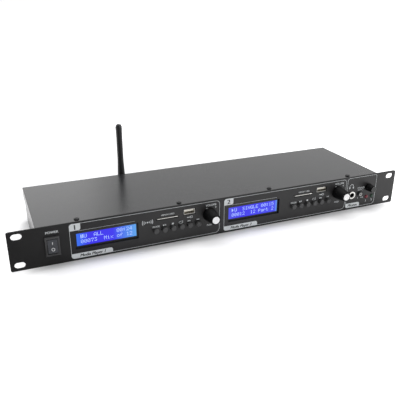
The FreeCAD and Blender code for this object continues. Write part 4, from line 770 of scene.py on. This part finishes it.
# %% Mark the two halves of the rocker
LEAST_AREA = 2e-5  # square metres; only the two halves of the front are larger
RING_RADIUS, RING_LINE, LINE_HALF_WIDTH, LINE_HALF_LENGTH = mm(1.7, 0.45, 0.25, 1.4)
marks = bmesh.new()
slopes = sorted((face for face in nodes["switch_rocker"].data.polygons
                 if face.normal.y < -0.9 and face.area > LEAST_AREA),
                key=lambda face: face.center.z)
for flat, sign in ((slopes[:2], "off"), (slopes[-2:], "on")):
    spot = (flat[0].center + flat[1].center) / 2
    lean = math.degrees(math.atan2(flat[0].normal.z, -flat[0].normal.y))
    if sign == "off":
        dot(marks, 24, spot.x, spot.z, RING_RADIUS, line=RING_LINE, face=spot.y, lean=lean)
    else:
        patch(marks, spot.x - LINE_HALF_WIDTH, spot.z - LINE_HALF_LENGTH,
              spot.x + LINE_HALF_WIDTH, spot.z + LINE_HALF_LENGTH, face=spot.y, lean=lean)
    print(sign, "half leans", round(lean, 1), "degrees")
rocker_ink = finish("rocker_ink", (0.88, 0.89, 0.9), 0.03, (0.35, 0.5), 0.3, 0.002)
piece("rocker_marks", marks, rocker_ink, "rocker")

# %% [markdown]
# ## The two displays
# Each display shows two rows of sixteen characters on its blue. A character is five dots wide and
# seven high, and the dots let the lamp's light through. We write each sign as seven short rows of
# dots, and place a tiny glowing tile for each dot. A font would be easier, but it could never show
# the gaps between the dots.

# %% The signs, dot by dot
SIGNS = {
    "0": ".###. #...# #..## #.#.# ##..# #...# .###.",
    "1": "..#.. .##.. ..#.. ..#.. ..#.. ..#.. .###.",
    "2": ".###. #...# ....# ...#. ..#.. .#... #####",
    "3": "##### ...#. ..#.. ...#. ....# #...# .###.",
    "4": "...#. ..##. .#.#. #..#. ##### ...#. ...#.",
    "5": "##### #.... ####. ....# ....# #...# .###.",
    "7": "##### #...# ....# ...#. ..#.. ..#.. ..#..",
    "A": ".###. #...# #...# #...# ##### #...# #...#",
    "E": "##### #.... #.... ####. #.... #.... #####",
    "G": ".###. #...# #.... #.### #...# #...# .####",
    "I": ".###. ..#.. ..#.. ..#.. ..#.. ..#.. .###.",
    "L": "#.... #.... #.... #.... #.... #.... #####",
    "M": "#...# ##.## #.#.# #.#.# #...# #...# #...#",
    "N": "#...# #...# ##..# #.#.# #..## #...# #...#",
    "P": "####. #...# #...# ####. #.... #.... #....",
    "S": ".#### #.... #.... .###. ....# ....# ####.",
    "U": "#...# #...# #...# #...# #...# #...# .###.",
    "a": "..... ..... .###. ....# .#### #...# .####",
    "f": "..##. .#..# .#... ###.. .#... .#... .#...",
    "i": "..#.. ..... .##.. ..#.. ..#.. ..#.. .###.",
    "o": "..... ..... .###. #...# #...# #...# .###.",
    "r": "..... ..... #.##. ##..# #.... #.... #....",
    "t": ".#... .#... ###.. .#... .#... .#..# ..##.",
    "x": "..... ..... #...# .#.#. ..#.. .#.#. #...#",
    ":": "..... .##.. .##.. ..... .##.. .##.. .....",
    "|": "##.## ##.## ##.## ##.## ##.## ##.## ##.##",
    ">": "#.... ##... ###.. ####. ###.. ##... #....",
    " ": "..... ..... ..... ..... ..... ..... .....",
}
ROWS = {1: ("|U  ALL    00:24", "00073  Mix of 12"),
        2: (">U  SINGLE 00:15", "00012  12 Part 2")}
print(len(SIGNS), "signs of", len(SIGNS["0"].split()), "rows")

# %% Place a glowing tile for each dot
CELL_WIDTH, CELL_HEIGHT, DOT, TILE_HALF = mm(3.51, 5.95, 0.59, 0.25)
FIRST_DOT = 0.8 * DOT, -0.9 * MM
dot_light = finish("display_dots", (0.1, 0.14, 0.3), 0.05, (0.3, 0.4), 0.3, 0.001)
set_shader(dot_light, {"Emission Color": (0.5, 0.66, 1, 1), "Emission Strength": DISPLAY_GLOW})


def write(stock, sign, left, top, face):
    """Tiles for the dots of one sign."""
    for down, strip in enumerate(SIGNS[sign].split()):
        for across, mark in enumerate(strip):
            if mark == "#":
                x, z = left + across * DOT, top - down * DOT
                patch(stock, x - TILE_HALF, z - TILE_HALF, x + TILE_HALF, z + TILE_HALF,
                      face=face)


for player, rows in ROWS.items():
    glass = f"display_glass_{player}"
    centre, face = centre_of(glass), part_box(glass)[0].y
    tiles = bmesh.new()
    for row, line in enumerate(rows):
        for column, sign in enumerate(line):
            write(tiles, sign, centre.x + (column - len(line) / 2) * CELL_WIDTH + FIRST_DOT[0],
                  centre.z + (1 - row) * CELL_HEIGHT + FIRST_DOT[1], face)
    piece(f"display_dots_{player}", tiles, dot_light)


# %% [markdown]
# ## The lip of the card slot
# A memory card slides under the rolled front edge of its socket's steel cover. Seen from above,
# that roll is a bright line in the dark slot. It is a flat bar with its long front edges
# rounded, and it stands a fraction of a millimetre out of the slot to catch the light.

# %% Roll a lip for each card slot
LIP = mm(24.6, 1.2, 1.05)
LIP_ROUND, LIP_BACK, LIP_LEVEL = mm(0.48, 0.25, 9.5)
for player in (1, 2):
    lip = bmesh.new()
    bmesh.ops.create_cube(lip, size=1)
    bmesh.ops.scale(lip, verts=lip.verts, vec=LIP)
    front_edges = [edge for edge in lip.edges if all(v.co.y < 0 for v in edge.verts)]
    bmesh.ops.bevel(lip, geom=front_edges, offset=LIP_ROUND, segments=5, profile=0.5,
                    affect="EDGES", material=-1)
    card = centre_of(f"card_socket_{player}")
    bmesh.ops.translate(lip, verts=lip.verts, vec=(card.x, PANEL_FACE + LIP_BACK, LIP_LEVEL))
    piece(f"card_lip_{player}", lip, finishes["bright_nickel"])

# %% [markdown]
# ## The face of the headphone knob
# The small knob is a soft black plastic, and its front is a harder, greyer disc. Its paler rim is a
# painted highlight for the light on the front's edge. Both are thin round plates, laid on the
# knob's flat end as the printing is laid on the panel, but they ride on the knob and turn with it.

# %% Lay a disc and its painted rim highlight on the knob
FACE_RADIUS, HIGHLIGHT_RIM_RADIUS, HIGHLIGHT_RIM_WIDTH = mm(3.3, 3.6, 0.4)
knob, knob_front = centre_of("level_knob"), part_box("level_knob")[0].y
grey_face = finish("grey_face", (0.024, 0.025, 0.024), 0.08, (0.3, 0.42), 0.25, 0.004)
# A paler ring round the disc: a painted highlight for the light on the knob's front edge.
painted_rim_highlight = finish("painted_rim_highlight", (0.13, 0.13, 0.125), 0.06, (0.25, 0.4), 0.25, 0.003)
disc, rim = bmesh.new(), bmesh.new()
dot(disc, 40, knob.x, knob.z, FACE_RADIUS, face=knob_front)
dot(rim, 40, knob.x, knob.z, HIGHLIGHT_RIM_RADIUS, line=HIGHLIGHT_RIM_WIDTH, face=knob_front)
piece("level_knob_face", disc, grey_face, "level")
piece("level_knob_painted_rim_highlight", rim, painted_rim_highlight, "level")

# %% [markdown]
# ## The cover's screws
# The cover is held by eight pan-head screws: a low dome with rounded sides and a cross pressed
# into it. A dome could be spun and the cross cut out of it, but a cut leaves a fan of thin faces.
# We start from a square grid instead, push its edge out to a circle, and let its middle rows make
# the cross, which sinks and narrows as the real one does. One shape then serves all eight places.

# %% Shape one screw that stands up from the origin
HEAD_RADIUS, HEAD_SIDE, HEAD_TOP, HEAD_ROUND = mm(2.9, 0.7, 2.0, 0.5)
SHANK_RADIUS, SHANK_LENGTH, SHANK_OVERLAP = mm(1.45, 5.0, 0.05)
CROSS_DEPTH, CROSS_TAPER = 0.9 * MM, 0.62
ROWS_ACROSS, ARM_HALF_WIDTH, ARM_REACH = 9, 0.9, 4.9  # all in rows of the grid


def pan_head():
    """Domed head with a cross recess, and a shank below it."""
    screw = bmesh.new()
    bmesh.ops.create_grid(screw, x_segments=ROWS_ACROSS, y_segments=ROWS_ACROSS, size=1)
    for point in screw.verts:
        across, along = point.co.x, point.co.y
        point.co.x = across * math.sqrt(1 - along ** 2 / 2) * HEAD_RADIUS
        point.co.y = along * math.sqrt(1 - across ** 2 / 2) * HEAD_RADIUS
    raised = bmesh.ops.extrude_face_region(screw, geom=screw.faces[:])["geom"]
    tops = [item for item in raised if isinstance(item, bmesh.types.BMVert)]
    for point in tops:
        away = point.co.xy.length / HEAD_RADIUS
        point.co.z = HEAD_SIDE + (HEAD_TOP - HEAD_SIDE) * (1 - away ** 2)
    bmesh.ops.recalc_face_normals(screw, faces=screw.faces)
    row = HEAD_RADIUS / ROWS_ACROSS
    cross = []
    for face in screw.faces:
        near, far = sorted(abs(part) for part in face.calc_center_median().xy)
        if face.normal.z > 0.5 and near < ARM_HALF_WIDTH * row and far < ARM_REACH * row:
            cross.append(face)
    sunk = bmesh.ops.extrude_face_region(screw, geom=cross)["geom"]
    floor_points = [item for item in sunk if isinstance(item, bmesh.types.BMVert)]
    bmesh.ops.translate(screw, verts=floor_points, vec=(0, 0, -CROSS_DEPTH))
    bmesh.ops.scale(screw, verts=floor_points, vec=(CROSS_TAPER, CROSS_TAPER, 1))
    rim = [edge for edge in screw.edges
           if all(v.co.z > HEAD_SIDE / 2 and v.co.xy.length > 0.98 * HEAD_RADIUS
                  for v in edge.verts)]
    bmesh.ops.bevel(screw, geom=rim, offset=HEAD_ROUND, segments=3, profile=0.5, affect="EDGES",
                    material=-1)
    middle = Matrix.Translation((0, 0, SHANK_OVERLAP - SHANK_LENGTH / 2))
    bmesh.ops.create_cone(screw, cap_ends=True, segments=24, radius1=SHANK_RADIUS,
                          radius2=SHANK_RADIUS, depth=SHANK_LENGTH, matrix=middle)
    return screw


print("a screw's head is", 2 * HEAD_RADIUS / MM, "mm wide")


# %% Put the eight screws in their places
SCREWS_ACROSS = mm(-170.5, -57.2, 57.2, 170.5)
CROSS_TURN = 40  # radians for each metre across, so no two crosses stand alike
low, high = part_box("cover_screws")
top_seat, rear_seat = high.z - HEAD_TOP, high.y - HEAD_TOP
screws = bmesh.new()
for across in SCREWS_ACROSS:
    upright = pan_head()
    bmesh.ops.rotate(upright, verts=upright.verts,
                     matrix=Matrix.Rotation(across * CROSS_TURN, 3, "Z"))
    turned = upright.copy()
    bmesh.ops.translate(upright, verts=upright.verts, vec=(across, low.y + HEAD_RADIUS, top_seat))
    bmesh.ops.rotate(turned, verts=turned.verts, matrix=Matrix.Rotation(-math.pi / 2, 3, "X"))
    bmesh.ops.translate(turned, verts=turned.verts, vec=(across, rear_seat, low.z + HEAD_RADIUS))
    for screw in (upright, turned):
        add_to(screws, screw)
heads = piece("screw_heads", screws, finishes["black_screw"])
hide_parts("cover_screws")

# %% [markdown]
# ## The sockets at the back
# A phono socket is a metal tube with a plastic sleeve in its mouth and a plastic collar where it
# leaves the wall. White and red tell the left channel from the right one. The solid has the
# metal, so each sleeve and collar is a ring fitted on it: the outline of its wall, spun once
# round the socket's axis. The blades in the mains inlet are metal bars in a black plastic recess.

# %% Fit white and red rings on the phono sockets
def ring(stock, x, z, inner, outer, back, front, soft):
    """Ring of plastic round an axis that runs front to back; its edges are rounded."""
    wall = bmesh.new()
    bmesh.ops.create_grid(wall, x_segments=1, y_segments=1, size=0.5)
    bmesh.ops.scale(wall, verts=wall.verts, vec=(outer - inner, front - back, 1))
    bmesh.ops.translate(wall, verts=wall.verts, vec=((inner + outer) / 2, (back + front) / 2, 0))
    bmesh.ops.bevel(wall, geom=wall.verts[:], offset=soft, segments=3, profile=0.5,
                    affect="VERTICES", material=-1)
    bmesh.ops.delete(wall, geom=wall.faces[:], context="FACES_ONLY")
    bmesh.ops.spin(wall, geom=wall.verts[:] + wall.edges[:], cent=(0, 0, 0), axis=(0, 1, 0),
                   angle=2 * math.pi, steps=40, use_merge=True)
    bmesh.ops.recalc_face_normals(wall, faces=wall.faces)
    bmesh.ops.translate(wall, verts=wall.verts, vec=(x, 0, z))
    add_to(stock, wall)


white_plastic = finish("white_plastic", (0.72, 0.71, 0.69), 0.04, (0.3, 0.45), 0.3, 0.004)
red_plastic = finish("red_plastic", (0.5, 0.02, 0.02), 0.08, (0.3, 0.45), 0.3, 0.004)
phono_row, mouth = centre_of("phono_sockets").x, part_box("phono_sockets")[1].y
wall_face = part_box("rear_wall")[1].y
PHONO_LEVEL = -2.0 * MM
SLEEVE, SLEEVE_DEPTH, SLEEVE_PROUD, SLEEVE_ROUND = mm(1.7, 3.4), *mm(1.5, 0.15, 0.12)
COLLAR, COLLAR_GAP, COLLAR_PROUD, COLLAR_ROUND = mm(4.1, 5.5), *mm(0.05, 1.4, 0.3)
for colour, plastic, steps in (("white", white_plastic, mm(-17, 35)),
                               ("red", red_plastic, mm(-35, 17))):
    rings = bmesh.new()
    for across in [phono_row + step for step in steps]:
        ring(rings, across, PHONO_LEVEL, *SLEEVE, mouth - SLEEVE_DEPTH, mouth + SLEEVE_PROUD,
             SLEEVE_ROUND)
        ring(rings, across, PHONO_LEVEL, *COLLAR, wall_face + COLLAR_GAP,
             wall_face + COLLAR_PROUD, COLLAR_ROUND)
    piece(f"phono_rings_{colour}", rings, plastic)

# %% Sleeve the three blades of the mains inlet
BLADE = mm(2.12, 13.0, 4.12)
BLADE_ROUND, BLADE_INSIDE = mm(0.5, 3.4)
BLADES_AT = mm(-7, -4.6), mm(0, -0.6), mm(7, -4.6)  # across from the inlet's middle, and level
blades = bmesh.new()
inlet, tip = centre_of("mains_inlet").x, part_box("mains_inlet")[1].y - BLADE_INSIDE
for across, level in BLADES_AT:
    blade = bmesh.new()
    bmesh.ops.create_cube(blade, size=1)
    bmesh.ops.scale(blade, verts=blade.verts, vec=BLADE)
    ends = [edge for edge in blade.edges if all(v.co.y > 0 for v in edge.verts)]
    bmesh.ops.bevel(blade, geom=ends, offset=BLADE_ROUND, segments=3, profile=0.5,
                    affect="EDGES", material=-1)
    bmesh.ops.translate(blade, verts=blade.verts, vec=(inlet + across, tip - BLADE[1] / 2, level))
    add_to(blades, blade)
piece("inlet_blades", blades, finishes["bright_nickel"])
